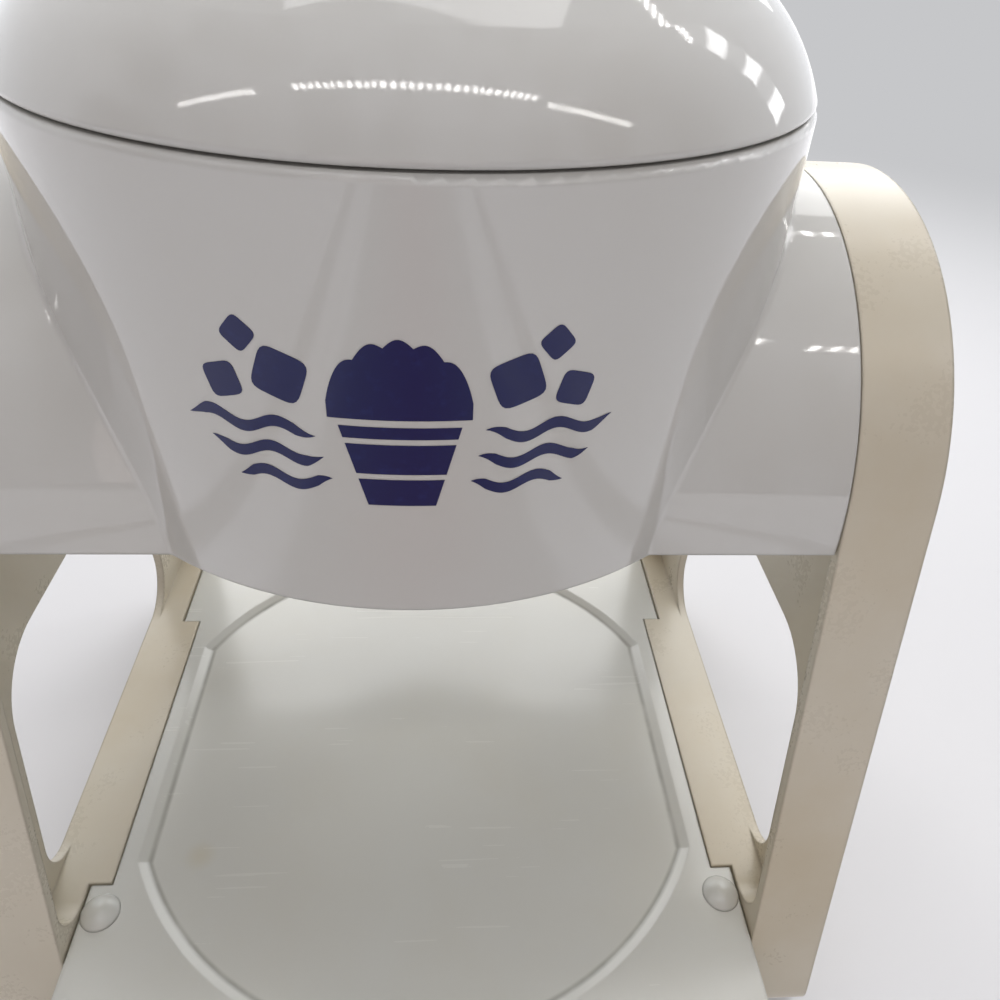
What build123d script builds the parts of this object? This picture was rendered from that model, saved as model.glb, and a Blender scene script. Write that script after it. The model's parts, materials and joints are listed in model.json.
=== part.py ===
from build123d import *
import os
from math import acos, asin, cos, radians, sin, sqrt, tan

# Hand-cranked ice shaver. Millimetres, +Z up, +X to the right, -Y to the front.
# The origin is on the standing surface, under the middle of the outer box.

# --- base tray, as wide as the body with its arms ---
tray_depth = 180.0
tray_top = 30.0                 # height of the surface that the bowl stands on
tray_plate = 3.0
tray_wall = 2.6
tray_lift = 3.0                 # lower edge of the tray's skirt above the standing surface
tray_corner = 8.0
tray_edge_round = 1.0
recess_radius = 77.0            # round recess for the bowl ...
recess_margin = 12.2            # ... clipped by a flat this far inside each side of the tray
recess_depth = 1.4
recess_slope = 62.0             # draft of the soft step round the recess, degrees
tray_rib = 2.0
tray_rib_height = 9.0
foot_seat = 3.5                 # height of each foot's pad
foot_inset_x = 18.7             # feet inside the tray's sides ...
foot_inset_y = 16.0             # ... and inside its front and back
foot_radius = 9.5
foot_stem_radius = 4.0
foot_stem = 5.5
foot_socket_wall = 3.0
stud_inset = 4.7                # studs inside the tray's sides
stud_forward = 48.2             # studs in front of the tray's middle
stud_radius = 4.6
stud_height = 2.4
stud_shank_radius = 2.4

# --- body housing ---
body_setback = 28.8             # the body's axis lies behind the middle of the tray
bowl_gap = 100.0                # height under the body for the bowl
body_radius = 75.0              # at the flat lower edge
body_taper = 1.25               # smaller at the lid's seam by this much
body_height = 71.4
body_wall = 3.0
rim_round = 1.1
crease_round = 1.5
arm_radius = 61.0
arm_drop = 6.0                  # the arms' axis below the flat lower edge
arm_wall = 3.0
arm_reach = 5.7                 # the arms' ends outside the body's lower edge
ledge_depth = 6.4               # chamber ledge below the rim
ledge_thickness = 3.5
ledge_reach = 9.0
ledge_play = 4.25               # between the ledge and the chamber's cup

# --- side frames ---
frame_width = 17.5              # across the outer flange
frame_rim = 2.4                 # flange thickness
web_offset = 9.0                # web's middle plane outside the inner plane
web_thickness = 2.4
frame_head_radius = 61.0        # round head, concentric with the arm
front_slant = 14.7              # the front leg leans forward, degrees from upright
leg_depth = 16.5
frame_bottom = 1.6
frame_corner = 7.0
opening_top = 91.4
opening_back = 32.5             # rear edge of the window behind the body's axis
opening_low_above_tray = 0.35
opening_front_round = 20.0
opening_foot_round = 9.0
opening_back_round = 14.0
shelf_thickness = 2.0
shelf_round = 8.0
shelf_ledge = 5.5               # the shelf reaches this far in over the tray
shelf_ledge_front = 41.2        # in front of the tray's middle ...
shelf_ledge_back = 46.8         # ... and behind it
lug_length = 12.0               # lug under the tray at each stud
lug_reach = 10.0
lug_thickness = 3.4
head_screw_circle = 53.0
head_screw_angles = (22.0, 90.0, 158.0)
head_boss_radius = 5.5
head_boss_depth = 22.0
head_shank_radius = 1.95
rail_screw_offsets = (-38.0, 62.0)  # from the tray's middle, along Y
rail_screw_z = 14.0
rail_boss_radius = 5.0
rail_boss_depth = 18.0
rail_shank_radius = 1.7
screw_head_ratio = 2.0          # head radius over shank radius
screw_head_height = 2.2
screw_bite_ratio = 0.7          # part of a boss that its screw fills ...
pilot_ratio = 0.8               # ... and part that is bored

# --- ice chamber and blade ---
chamber_wall = 2.5
chamber_floor = 3.0
chamber_floor_above_body = 13.0 # top of the floor above the body's lower edge
chamber_flange = 3.0
chamber_flange_play = 1.15      # between the flange and the housing's bore
chamber_screw_inset = 6.75      # screws inside the housing's bore
chamber_screw_count = 3
chamber_screw_angle = 30.0
chamber_shank_radius = 1.5
blade_tilt = 18.0
blade_end_gap = 2.0             # between the blade's outer end and the chamber's wall
blade_width = 22.0
blade_thickness = 1.2
blade_bevel = 4.0
blade_start = 7.0               # distance of the blade's inner end from the axis
blade_proud = 0.4               # cutting edge above the chamber floor
throat_front = 5.0              # opening in front of the cutting edge
throat_back = 4.0
throat_overlap = 0.5
blade_seat_wall = 2.0           # seat block round the blade
clamp_width = 13.0
clamp_margin = 1.0              # blade left bare round the clamp
clamp_thickness = 2.0
blade_screw_inset = 11.0        # screws inside the blade's ends
blade_screw_back = 15.0
blade_shank_radius = 1.6
blade_screw_grip = 3.0
blade_screw_play = 0.4

# --- lid ---
seam_gap = 0.4
lid_setback = 0.15              # the dome's edge inside the housing's rim
lid_wall = 2.6
shoulder_inset = 9.6            # the steep shoulder meets the crown this far in
shoulder_rise = 14.0
crown_radius = 95.0
lid_edge_round = 0.8
collar_radius = 16.5
collar_rise = 2.4               # seat for the crank above the crown
collar_round = 1.0
lid_hub_radius = 14.0
lid_hub_depth = 17.0
lid_rib_count = 6
lid_rib = 2.0
lid_rib_depth = 14.0
lid_boss_radius = 4.5
lid_boss_circle = 50.0
lid_pilot_depth = 9.0
lid_screw_grip = 8.0
lid_screw_count = 3
lid_screw_angle = 90.0
lid_shank_radius = 1.5
guard_thickness = 2.2
guard_above_seam = 0.4
guard_hole = 18.0
skirt_depth = 3.6
skirt_thickness = 2.3

# --- bush, spindle, press ---
spindle_radius = 8.0
running_clearance = 0.05
bush_wall = 2.5
bush_flange_radius = 13.0
bush_flange = 1.5
washer_radius = 12.5
washer_thickness = 1.4
thrust_gap = 0.1
spindle_collar_radius = 15.5
spindle_collar = 3.4
spindle_tail = 14.5             # spindle tube below its collar
spindle_flat = 13.0             # across the flats inside the crank
spindle_neck_radius = 6.4
spindle_neck = 4.0
stem_across = 8.0               # hexagonal press stem, across flats
stem_clearance = 0.25
stem_head_room = 9.3            # above the stem, with the press at its highest
stem_point = 0.8
press_travel = 34.0
press_play = 1.6                # between the press plate and the chamber's wall
press_thickness = 4.0
press_edge_round = 1.2
press_hub_radius = 8.5
press_hub_height = 9.5
press_rim_inset = 3.0           # upright rim on the plate, inside its edge
press_rib = 2.0
press_rib_height = 4.0
press_rib_sink = 0.5            # ribs reach into the plate and the rim
press_rib_count = 6
press_hole_radius = 4.0
press_hole_circle = 32.0
press_hole_count = 6
press_hole_angle = 30.0
spike_length = 5.0
spike_radius = 1.8
spike_tip_radius = 0.35
spike_inner_circle = 22.0
spike_inset = 10.4              # outer ring of spikes inside the plate's edge
spike_ring_counts = (4, 8)
spike_floor_gap = 1.5
spring_wire = 1.6
spring_radius = 12.4
spring_turn_count = 7
spring_side_count = 4           # the wire's section is a slim square

# --- crank and knob ---
crank_play = 0.4
crank_reach = 72.0
crank_hub_radius = 16.5
crank_hub_height = 18.0
crank_arm_height = 10.0
crank_arm_base = 5.0            # underside of the arm above the hub's lower face
crank_root_radius = 13.5
crank_end_radius = 10.5
crank_wall = 2.6
crank_pocket = 6.0
crank_pocket_margin = 1.0       # rib and boss stay this far inside the pocket's mouth
crank_edge_round = 2.2
cap_radius = 12.0
cap_height = 7.0
cap_round = 3.5
cap_play = 0.4
pin_radius = 3.5
pin_foot_radius = 2.6
pin_head_radius = 6.0
pin_head = 2.4
pin_rivet_radius = 4.0
pin_rivet_height = 1.4
pin_clearance = 0.07
knob_gap = 0.4
knob_height = 38.0
knob_base_radius = 11.0
knob_base_round = 1.0
knob_waist_radius = 9.6
knob_waist_height = 11.4
knob_top_radius = 13.2
knob_top_height = 27.36         # where the knob is fullest
knob_well_radius = 7.6
knob_well_depth = 6.5
knob_lip = 1.2
knob_cap_thickness = 2.4
knob_cap_rise = 0.8
knob_cap_round = 0.7
small_gap = 0.3                 # loose seat between neighbouring pieces
fit_gap = 0.05                  # close seat of a pressed or screwed piece
past = 1.0                      # cuts run this far past a face

# --- widths, heights and places worked out from the sizes above ---
arm_end = body_radius + arm_reach
tray_half_width = arm_end
frame_inner = arm_end + small_gap
recess_half_width = tray_half_width - recess_margin
foot_x = tray_half_width - foot_inset_x
foot_y = tray_depth / 2 - foot_inset_y
stud_x = tray_half_width - stud_inset
tray_y = (tray_depth / 2 - body_setback - body_radius) / 2
body_y = tray_y + body_setback
stud_y = tray_y - stud_forward
window_back = body_y + opening_back
ledge_front_y = tray_y - shelf_ledge_front
ledge_back_y = tray_y + shelf_ledge_back
rail_screw_y = [tray_y + offset for offset in rail_screw_offsets]
body_bottom = tray_top + bowl_gap
body_top = body_bottom + body_height
arm_z = body_bottom - arm_drop
web_x = frame_inner + web_offset
frame_outer = frame_inner + frame_width
opening_low = tray_top + opening_low_above_tray
shelf_low = opening_low - shelf_thickness
body_top_radius = body_radius - body_taper
rim_bore = body_top_radius - body_wall
ledge_bore = rim_bore - ledge_reach
chamber_radius = ledge_bore - ledge_play - chamber_wall  # takes an ice block just under 110 mm across
blade_length = chamber_radius - blade_end_gap - blade_start
blade_screw_x = (blade_start + blade_screw_inset, blade_start + blade_length - blade_screw_inset)
ledge_top = body_top - ledge_depth
chamber_top = ledge_top + chamber_flange
chamber_flange_radius = rim_bore - chamber_flange_play
chamber_screw_circle = rim_bore - chamber_screw_inset
floor_top = body_bottom + chamber_floor_above_body
floor_low = floor_top - chamber_floor
lid_radius = body_top_radius - lid_setback
shoulder_radius = lid_radius - shoulder_inset
seam_z = body_top + seam_gap
shoulder_z = seam_z + shoulder_rise
crown_centre = shoulder_z - sqrt(crown_radius**2 - shoulder_radius**2)
crown_top = crown_centre + crown_radius
collar_top = crown_top + collar_rise
lid_hub_low = collar_top - lid_hub_depth
bush_low = lid_hub_low - bush_flange
washer_top = bush_low - thrust_gap
spindle_collar_top = washer_top - washer_thickness
spindle_collar_low = spindle_collar_top - spindle_collar
spindle_low = spindle_collar_low - spindle_tail
crank_low = collar_top + crank_play
crank_top = crank_low + crank_hub_height
arm_low = crank_low + crank_arm_base
arm_high = arm_low + crank_arm_height
press_radius = chamber_radius - press_play
spike_ring_radii = (spike_inner_circle, press_radius - spike_inset)
press_low = floor_top + spike_floor_gap + spike_length
press_top = press_low + press_thickness
stem_top = crank_top + spindle_neck - stem_head_room - press_travel
guard_low = seam_z + guard_above_seam
guard_top = guard_low + guard_thickness

base = (Align.CENTER, Align.CENTER, Align.MIN)


def post(radius, low, high, x=0.0, y=0.0):
    """Upright cylinder between two heights."""
    return Pos(x, y, low) * Cylinder(radius, high - low, align=base)


def axis_post(radius, low, high):
    """Upright cylinder on the body's axis."""
    return post(radius, low, high, 0.0, body_y)


def rod_x(radius, start, end, y, z):
    """Cylinder along X."""
    return Pos(start, y, z) * Rot(0, 90, 0) * Cylinder(radius, end - start, align=base)


def block(x0, x1, y0, y1, z0, z1):
    """Box between two corners."""
    centre = Pos((x0 + x1) / 2, (y0 + y1) / 2, (z0 + z1) / 2)
    return centre * Box(x1 - x0, y1 - y0, z1 - z0)


def slab_x(face, start, end):
    """Side view drawn in (Y, Z), given a thickness along X."""
    return extrude(Pos(start, 0, 0) * (Plane.YZ * face), amount=end - start)


def turned(face):
    """Half profile drawn in (radius, height), turned about the body's axis."""
    return Pos(0, body_y, 0) * revolve(Plane.XZ * face, Axis.Z)


def ring_places(radius, count, start=0.0):
    """Points evenly spaced on a circle round the body's axis."""
    step = radians(360.0 / count)
    first = radians(start)
    return [(radius * cos(first + i * step), body_y + radius * sin(first + i * step)) for i in range(count)]


def rounded(face, point, radius):
    """Round the corner of a face that lies nearest to a point."""
    target = Vector(point[0], point[1])
    corner = min(face.vertices(), key=lambda v: (Vector(v.X, v.Y) - target).length)
    return fillet(corner, radius)


def screw(shank_radius, length):
    """Pan-head screw: seat at Z = 0, head above, shank below."""
    head = Cylinder(shank_radius * screw_head_ratio, screw_head_height, align=base)
    return head + post(shank_radius, -length, 0)


def both_sides(piece):
    """The piece and its mirror image across the middle plane."""
    return [piece, mirror(piece, about=Plane.YZ)]


# --- side frame ---
def front_line_y(depth, z):
    """Y of a line parallel to the front leg's face, at a depth behind it."""
    slant = radians(front_slant)
    r = frame_head_radius - depth
    return body_y - r * cos(slant) - (arm_z + r * sin(slant) - z) * tan(slant)


def frame_outline(inset=0.0):
    """Side view of the frame: round head, slanting front leg, upright rear edge."""
    r = frame_head_radius - inset
    low = frame_bottom + inset
    top_angle = radians((180.0 - front_slant) / 2)
    slant = radians(front_slant)
    front = (body_y - r * cos(slant), arm_z + r * sin(slant))
    toe = (front_line_y(inset, low), low)
    heel = (body_y + r, low)
    back = (body_y + r, arm_z)
    crown = (body_y + r * cos(top_angle), arm_z + r * sin(top_angle))
    face = make_face([Line(front, toe), Line(toe, heel), Line(heel, back), ThreePointArc(back, crown, front)])
    face = rounded(face, toe, frame_corner - inset)
    return rounded(face, heel, frame_corner - inset)


def frame_opening():
    """The window in the web, behind the slanting leg."""
    low_front = (front_line_y(leg_depth, opening_low), opening_low)
    high_front = (front_line_y(leg_depth, opening_top), opening_top)
    low_back = (window_back, opening_low)
    high_back = (window_back, opening_top)
    face = make_face(Polyline(low_front, low_back, high_back, high_front, close=True))
    face = rounded(face, high_front, opening_front_round)
    face = rounded(face, low_front, opening_foot_round)
    face = rounded(face, low_back, opening_back_round)
    return rounded(face, high_back, opening_back_round)


def head_screw_places():
    """(Y, Z) of the screws that hold a frame's head to the arm."""
    spots = []
    for angle in head_screw_angles:
        a = radians(angle)
        spots.append((body_y + head_screw_circle * cos(a), arm_z + head_screw_circle * sin(a)))
    return spots


def band(low, high):
    """Wide horizontal strip of the side view, between two heights."""
    return Pos(0, (low + high) / 2) * Rectangle(4 * tray_depth, high - low)


def side_frame():
    """Right-hand frame: outer flange, web with its window, shelf, ledge, lug and screw posts."""
    outline = frame_outline()
    hollow = frame_outline(frame_rim)
    top = arm_z + 2 * frame_head_radius
    upper = hollow & band(opening_low, top)
    upper = rounded(upper, (front_line_y(frame_rim, opening_low), opening_low), shelf_round)
    lower = hollow & band(0, shelf_low)
    web = slab_x(outline - frame_opening(), web_x - web_thickness / 2, web_x + web_thickness / 2)
    inner = slab_x(outline - upper - lower, frame_inner, web_x)
    outer = slab_x(outline - hollow, web_x, frame_outer)
    frame = web + inner + outer
    frame += block(frame_inner - shelf_ledge, frame_inner + frame_rim, ledge_front_y, ledge_back_y,
                   shelf_low, opening_low)
    lug_top = tray_top - tray_plate
    frame += block(frame_inner - lug_reach, web_x, stud_y - lug_length / 2, stud_y + lug_length / 2,
                   lug_top - lug_thickness, lug_top)
    frame -= post(stud_shank_radius + fit_gap, lug_top - lug_thickness - past, lug_top + past, stud_x, stud_y)
    for y, z in head_screw_places():
        frame += rod_x(head_boss_radius, frame_inner, web_x, y, z)
    for y in rail_screw_y:
        frame += rod_x(rail_boss_radius, tray_half_width, web_x, y, rail_screw_z)
    for y, z in head_screw_places():
        frame -= rod_x(head_shank_radius + small_gap, frame_inner - past, frame_outer, y, z)
    for y in rail_screw_y:
        frame -= rod_x(rail_shank_radius + small_gap, tray_half_width - past, frame_outer, y, rail_screw_z)
    return frame


def side_screws(shank_radius, depth, spots):
    """Screws driven inwards through the web, the same on both sides."""
    seat = web_x + web_thickness / 2
    screws = []
    for y, z in spots:
        length = seat - frame_inner + depth * screw_bite_ratio
        one = Pos(seat, y, z) * Rot(0, 90, 0) * screw(shank_radius, length)
        screws += both_sides(one)
    return Compound(children=screws)


# --- body housing ---
def half_arms(radius, half_length, low):
    """Both arms as one bar along X, cut flat at the bottom."""
    bar = rod_x(radius, -half_length, half_length, body_y, arm_z)
    return bar & block(-half_length, half_length, body_y - radius, body_y + radius, low, arm_z + radius + past)


def body_housing():
    """Round shell with a short half-round arm on each side and a ledge for the ice chamber."""
    centre = Pos(0, body_y, body_bottom)
    outer = centre * Cone(body_radius, body_top_radius, body_height, align=base)
    outer += half_arms(arm_radius, arm_end, body_bottom)
    creases = [e for e in outer.edges().filter_by(GeomType.CIRCLE, reverse=True)
               if e.bounding_box().size.Z > arm_radius / 2 and e.bounding_box().size.Y > arm_radius / 2
               and e.bounding_box().size.X > crease_round]
    outer = fillet(creases, crease_round)
    hollow = centre * Cone(body_radius - body_wall, rim_bore, body_height, align=base)
    hollow += half_arms(arm_radius - arm_wall, arm_end + past, body_bottom)
    shell = outer - hollow
    rim = shell.edges().filter_by(GeomType.CIRCLE).group_by(Axis.Z)[-1].sort_by(SortBy.RADIUS)[-1]
    shell = fillet(rim, rim_round)
    ledge = axis_post(rim_bore + body_wall / 2, ledge_top - ledge_thickness, ledge_top)
    shell += ledge - axis_post(ledge_bore, 0, body_top)
    for x, y in chamber_screw_places():
        shell -= post(chamber_shank_radius + fit_gap, 0, ledge_top + past, x, y)
    for y, z in head_screw_places():
        for piece in both_sides(rod_x(head_boss_radius, frame_inner - head_boss_depth, frame_inner, y, z)):
            shell += piece
        pilot = rod_x(head_shank_radius + fit_gap, frame_inner - head_boss_depth * pilot_ratio,
                      frame_inner + past, y, z)
        for piece in both_sides(pilot):
            shell -= piece
    return shell


# --- ice chamber, blade and clamp ---
def chamber_screw_places():
    """Screws through the chamber's flange into the housing's ledge."""
    return ring_places(chamber_screw_circle, chamber_screw_count, chamber_screw_angle)


def in_blade_plane(shape):
    """Put a shape drawn at the cutting edge into the blade's tilted place."""
    return Pos(0, body_y, floor_top + blade_proud) * Rot(blade_tilt, 0, 0) * shape


def blade_band(back, front, low, high, x0, x1):
    """Box in the blade's own frame: Y along its width, Z across its thickness."""
    return in_blade_plane(block(x0, x1, back, front, low, high))


def blade_screw_holes(radius, low, high):
    """Cylinders square to the blade, at its screws."""
    return [in_blade_plane(post(radius, low, high, x, -blade_screw_back)) for x in blade_screw_x]


def ice_chamber():
    """Cup that holds the ice, with the throat and the tilted blade seat in its floor."""
    cup = axis_post(chamber_radius + chamber_wall, floor_low, chamber_top)
    cup += axis_post(chamber_flange_radius, ledge_top, chamber_top)
    cup -= axis_post(chamber_radius, floor_top, chamber_top + past)
    x0 = blade_start - small_gap
    x1 = blade_start + blade_length + small_gap
    seat0 = x0 - blade_seat_wall
    seat1 = x1 + blade_seat_wall
    seat_back = blade_width + blade_seat_wall
    drop = seat_back * tan(radians(blade_tilt))
    cup += block(seat0, seat1, body_y - seat_back, body_y - throat_back, floor_top - drop, floor_low)
    under = 3 * clamp_width
    cup -= blade_band(-2 * blade_width, 0, -under, 0, seat0 - past, seat1 + past) & block(
        seat0 - past, seat1 + past, body_y - 2 * blade_width, body_y - throat_back, 0, floor_top)
    cup -= block(x0, x1, body_y - throat_back - throat_overlap, body_y + throat_front,
                 floor_low - past, floor_top + past)
    for hole in blade_screw_holes(blade_shank_radius + fit_gap, -under, blade_screw_grip):
        cup -= hole
    for x, y in chamber_screw_places():
        cup -= post(chamber_shank_radius + small_gap, ledge_top - past, chamber_top + past, x, y)
    return cup


def chamber_screws():
    """Screws that hold the chamber's flange down."""
    one = screw(chamber_shank_radius, chamber_flange + ledge_thickness)
    return Compound(children=[Pos(x, y, chamber_top) * one for x, y in chamber_screw_places()])


def blade():
    """Steel blade with a ground bevel, lying along a radius of the floor."""
    edge = (0.0, 0.0)
    section = make_face(Polyline(edge, (-blade_width, 0), (-blade_width, -blade_thickness),
                                 (-blade_bevel, -blade_thickness), close=True))
    strip = in_blade_plane(slab_x(section, blade_start, blade_start + blade_length))
    for hole in blade_screw_holes(blade_shank_radius + small_gap, -2 * blade_thickness, past):
        strip -= hole
    return strip


def blade_clamp():
    """Plate that holds the blade up against its seat."""
    back = -blade_width + clamp_margin
    low = -blade_thickness - clamp_thickness
    plate = blade_band(back, back + clamp_width, low, -blade_thickness, blade_start + clamp_margin,
                       blade_start + blade_length - clamp_margin)
    for hole in blade_screw_holes(blade_shank_radius + small_gap, low - past, past):
        plate -= hole
    return plate


def blade_screws():
    """Two screws from below, through clamp and blade into the floor."""
    seat = -blade_thickness - clamp_thickness
    one = Rot(180, 0, 0) * screw(blade_shank_radius, blade_screw_grip - seat - blade_screw_play)
    return Compound(children=[in_blade_plane(Pos(x, -blade_screw_back, seat) * one) for x in blade_screw_x])


# --- base tray ---
def foot_places():
    """Middles of the four feet."""
    return [(x, tray_y + y) for x in (-foot_x, foot_x) for y in (-foot_y, foot_y)]


def recess_face():
    """Circle clipped by two parallel flats."""
    return Circle(recess_radius) & Rectangle(2 * recess_half_width, 2 * recess_radius + past)


def base_tray():
    """Tray with a skirt, a shallow bowl recess, ribs, foot sockets and side screw posts."""
    plan = fillet(Rectangle(2 * tray_half_width, tray_depth).vertices(), tray_corner)
    hollow_plan = fillet(Rectangle(2 * (tray_half_width - tray_wall), tray_depth - 2 * tray_wall).vertices(),
                         tray_corner - tray_wall)
    shell = extrude(Pos(0, tray_y, tray_lift) * plan, amount=tray_top - tray_lift)
    shell = fillet(shell.faces().sort_by(Axis.Z)[-1].edges(), tray_edge_round)
    ceiling = tray_top - tray_plate
    hollow = extrude(Pos(0, tray_y, tray_lift) * hollow_plan, amount=ceiling - tray_lift)
    tray = shell - hollow
    tray -= extrude(Pos(0, tray_y, tray_top - recess_depth) * recess_face(), amount=recess_depth + fit_gap,
                    taper=-recess_slope)
    rib_low = ceiling - tray_rib_height
    half_x = tray_half_width - tray_wall / 2
    half_y = (tray_depth - tray_wall) / 2
    for y in (tray_y - foot_y / 3, tray_y + foot_y / 3):
        tray += block(-half_x, half_x, y - tray_rib / 2, y + tray_rib / 2, rib_low, ceiling)
    for x in (-foot_x / 2, foot_x / 2):
        tray += block(x - tray_rib / 2, x + tray_rib / 2, tray_y - half_y, tray_y + half_y, rib_low, ceiling)
    socket = foot_stem_radius + foot_socket_wall
    for x, y in foot_places():
        tray += post(socket, foot_seat, ceiling, x, y)
        tray -= post(foot_stem_radius + fit_gap, tray_lift, foot_seat + foot_stem + small_gap, x, y)
    for y in rail_screw_y:
        inner_end = tray_half_width - rail_boss_depth
        posts = rod_x(rail_boss_radius, inner_end, tray_half_width, y, rail_screw_z)
        posts += block(inner_end, tray_half_width - tray_wall, y - tray_rib / 2, y + tray_rib / 2,
                       rail_screw_z, ceiling)
        pilot = rod_x(rail_shank_radius + fit_gap, tray_half_width - rail_boss_depth * pilot_ratio,
                      tray_half_width + past, y, rail_screw_z)
        for piece in both_sides(posts):
            tray += piece
        for piece in both_sides(pilot):
            tray -= piece
    notch = block(frame_inner - shelf_ledge - small_gap, frame_inner + past, ledge_front_y - small_gap,
                  ledge_back_y + small_gap, shelf_low, tray_top + past)
    lug_slot = block(tray_half_width - tray_wall - past, frame_inner + past,
                     stud_y - lug_length / 2 - small_gap, stud_y + lug_length / 2 + small_gap,
                     ceiling - lug_thickness - small_gap, ceiling)
    for piece in both_sides(notch) + both_sides(lug_slot):
        tray -= piece
    for piece in both_sides(post(stud_shank_radius + fit_gap, ceiling - past, tray_top + past, stud_x, stud_y)):
        tray -= piece
    return tray


def tray_studs():
    """Domed studs that pin the tray to the frames' lugs."""
    ball = (stud_radius**2 + stud_height**2) / (2 * stud_height)
    dome = post(stud_radius, tray_top, tray_top + stud_height, stud_x, stud_y)
    dome &= Pos(stud_x, stud_y, tray_top + stud_height - ball) * Sphere(ball)
    dome += post(stud_shank_radius, tray_top - tray_plate - lug_thickness, tray_top, stud_x, stud_y)
    return Compound(children=both_sides(dome))


def rubber_feet():
    """Four feet, each with a stem pushed into its socket."""
    foot = post(foot_radius, 0, foot_seat) + post(foot_stem_radius, foot_seat, foot_seat + foot_stem)
    return Compound(children=[Pos(x, y, 0) * foot for x, y in foot_places()])


# --- lid ---
def dome_face(inset=0.0):
    """Half profile of the dome: steep shoulder running into a round crown."""
    r = crown_radius - inset
    swing = asin(shoulder_radius / crown_radius)
    shoulder = (r * sin(swing), crown_centre + r * cos(swing))
    seam = (lid_radius - inset, seam_z)
    top = (0.0, crown_centre + r)
    half = swing / 2
    middle = (r * sin(half), crown_centre + r * cos(half))
    outward = (cos(swing), -sin(swing))
    edge = TangentArc(shoulder, seam, tangent=outward)
    crown = ThreePointArc(top, middle, shoulder)
    return make_face([crown, edge, Line(seam, (0, seam_z)), Line((0, seam_z), top)])


def lid_screw_places():
    """Screws that hold the guard plate to the dome's posts."""
    return ring_places(lid_boss_circle, lid_screw_count, lid_screw_angle)


def lid_dome():
    """Domed shell with a raised collar, an inner hub, ribs and screw posts."""
    outer = turned(dome_face())
    shell = outer - turned(dome_face(lid_wall))
    lip = shell.edges().filter_by(GeomType.CIRCLE).group_by(Axis.Z)[0].sort_by(SortBy.RADIUS)[-1]
    shell = fillet(lip, lid_edge_round)
    core = turned(dome_face(lid_wall / 2))
    inside = axis_post(lid_hub_radius, lid_hub_low, crown_top)
    for x, y in lid_screw_places():
        inside += post(lid_boss_radius, guard_top, crown_top, x, y)
    for i in range(lid_rib_count):
        rib = block(lid_hub_radius - lid_rib, lid_radius, -lid_rib / 2, lid_rib / 2,
                    collar_top - lid_rib_depth, crown_top)
        inside += Pos(0, body_y, 0) * Rot(0, 0, (i + 0.5) * 360.0 / lid_rib_count) * rib
    shell += inside & core
    collar = axis_post(collar_radius, crown_top - lid_wall, collar_top)
    collar = fillet(collar.edges().sort_by(Axis.Z)[-1], collar_round)
    shell += collar
    shell -= axis_post(spindle_radius + running_clearance + bush_wall + fit_gap, lid_hub_low - past,
                       collar_top + past)
    for x, y in lid_screw_places():
        shell -= post(lid_shank_radius + fit_gap, guard_top - past, guard_top + lid_pilot_depth, x, y)
    return shell


def lid_guard():
    """Plate that closes the dome from below, with the skirt that centres the lid in the rim."""
    disc = turned(dome_face(lid_wall + small_gap)) & axis_post(lid_radius, guard_low, guard_top)
    skirt_radius = rim_bore - small_gap
    skirt = axis_post(skirt_radius, seam_z - skirt_depth + seam_gap, guard_low)
    skirt -= axis_post(skirt_radius - skirt_thickness, 0, guard_low)
    plate = disc + skirt - axis_post(guard_hole, 0, guard_top + past)
    for x, y in lid_screw_places():
        plate -= post(lid_shank_radius + small_gap, guard_low - past, guard_top + past, x, y)
    return plate


def lid_screws():
    """Screws from below through the guard plate."""
    one = Rot(180, 0, 0) * screw(lid_shank_radius, guard_thickness + lid_screw_grip)
    return Compound(children=[Pos(x, y, guard_low) * one for x, y in lid_screw_places()])


def shaft_bush():
    """Flanged bush in the dome's hub."""
    bore = spindle_radius + running_clearance
    bush = axis_post(bore + bush_wall, lid_hub_low, collar_top)
    bush += axis_post(bush_flange_radius, bush_low, lid_hub_low)
    return bush - axis_post(bore, 0, collar_top + past)


# --- spindle and press ---
def hex_bar(across, low, high):
    """Upright hexagonal bar on the body's axis."""
    return Pos(0, body_y, low) * extrude(RegularPolygon(across / 2, 6, major_radius=False), amount=high - low)


def thrust_washer():
    """Washer between the bush's flange and the spindle's collar."""
    ring = axis_post(washer_radius, washer_top - washer_thickness, washer_top)
    return ring - axis_post(spindle_radius + fit_gap, 0, washer_top + past)


def flatted(radius, across, low, high):
    """Round bar with two flats that lie across the crank arm."""
    return axis_post(radius, low, high) & block(-radius, radius, body_y - across / 2, body_y + across / 2, low, high)


def crank_spindle():
    """Tube that the crank turns, with a collar for the spring and flats for the crank."""
    tube = axis_post(spindle_radius, spindle_low, crank_low)
    tube += flatted(spindle_radius, spindle_flat, crank_low, crank_top)
    tube += axis_post(spindle_neck_radius, crank_top, crank_top + spindle_neck)
    tube += axis_post(spindle_collar_radius, spindle_collar_low, spindle_collar_top)
    return tube - hex_bar(stem_across + 2 * stem_clearance, spindle_low - past, crank_top + spindle_neck + past)


def press_stem():
    """Hexagonal rod that slides in the spindle and turns with it."""
    rod = hex_bar(stem_across, press_low, stem_top)
    return chamfer(rod.faces().sort_by(Axis.Z)[-1].edges(), stem_point)


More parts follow.
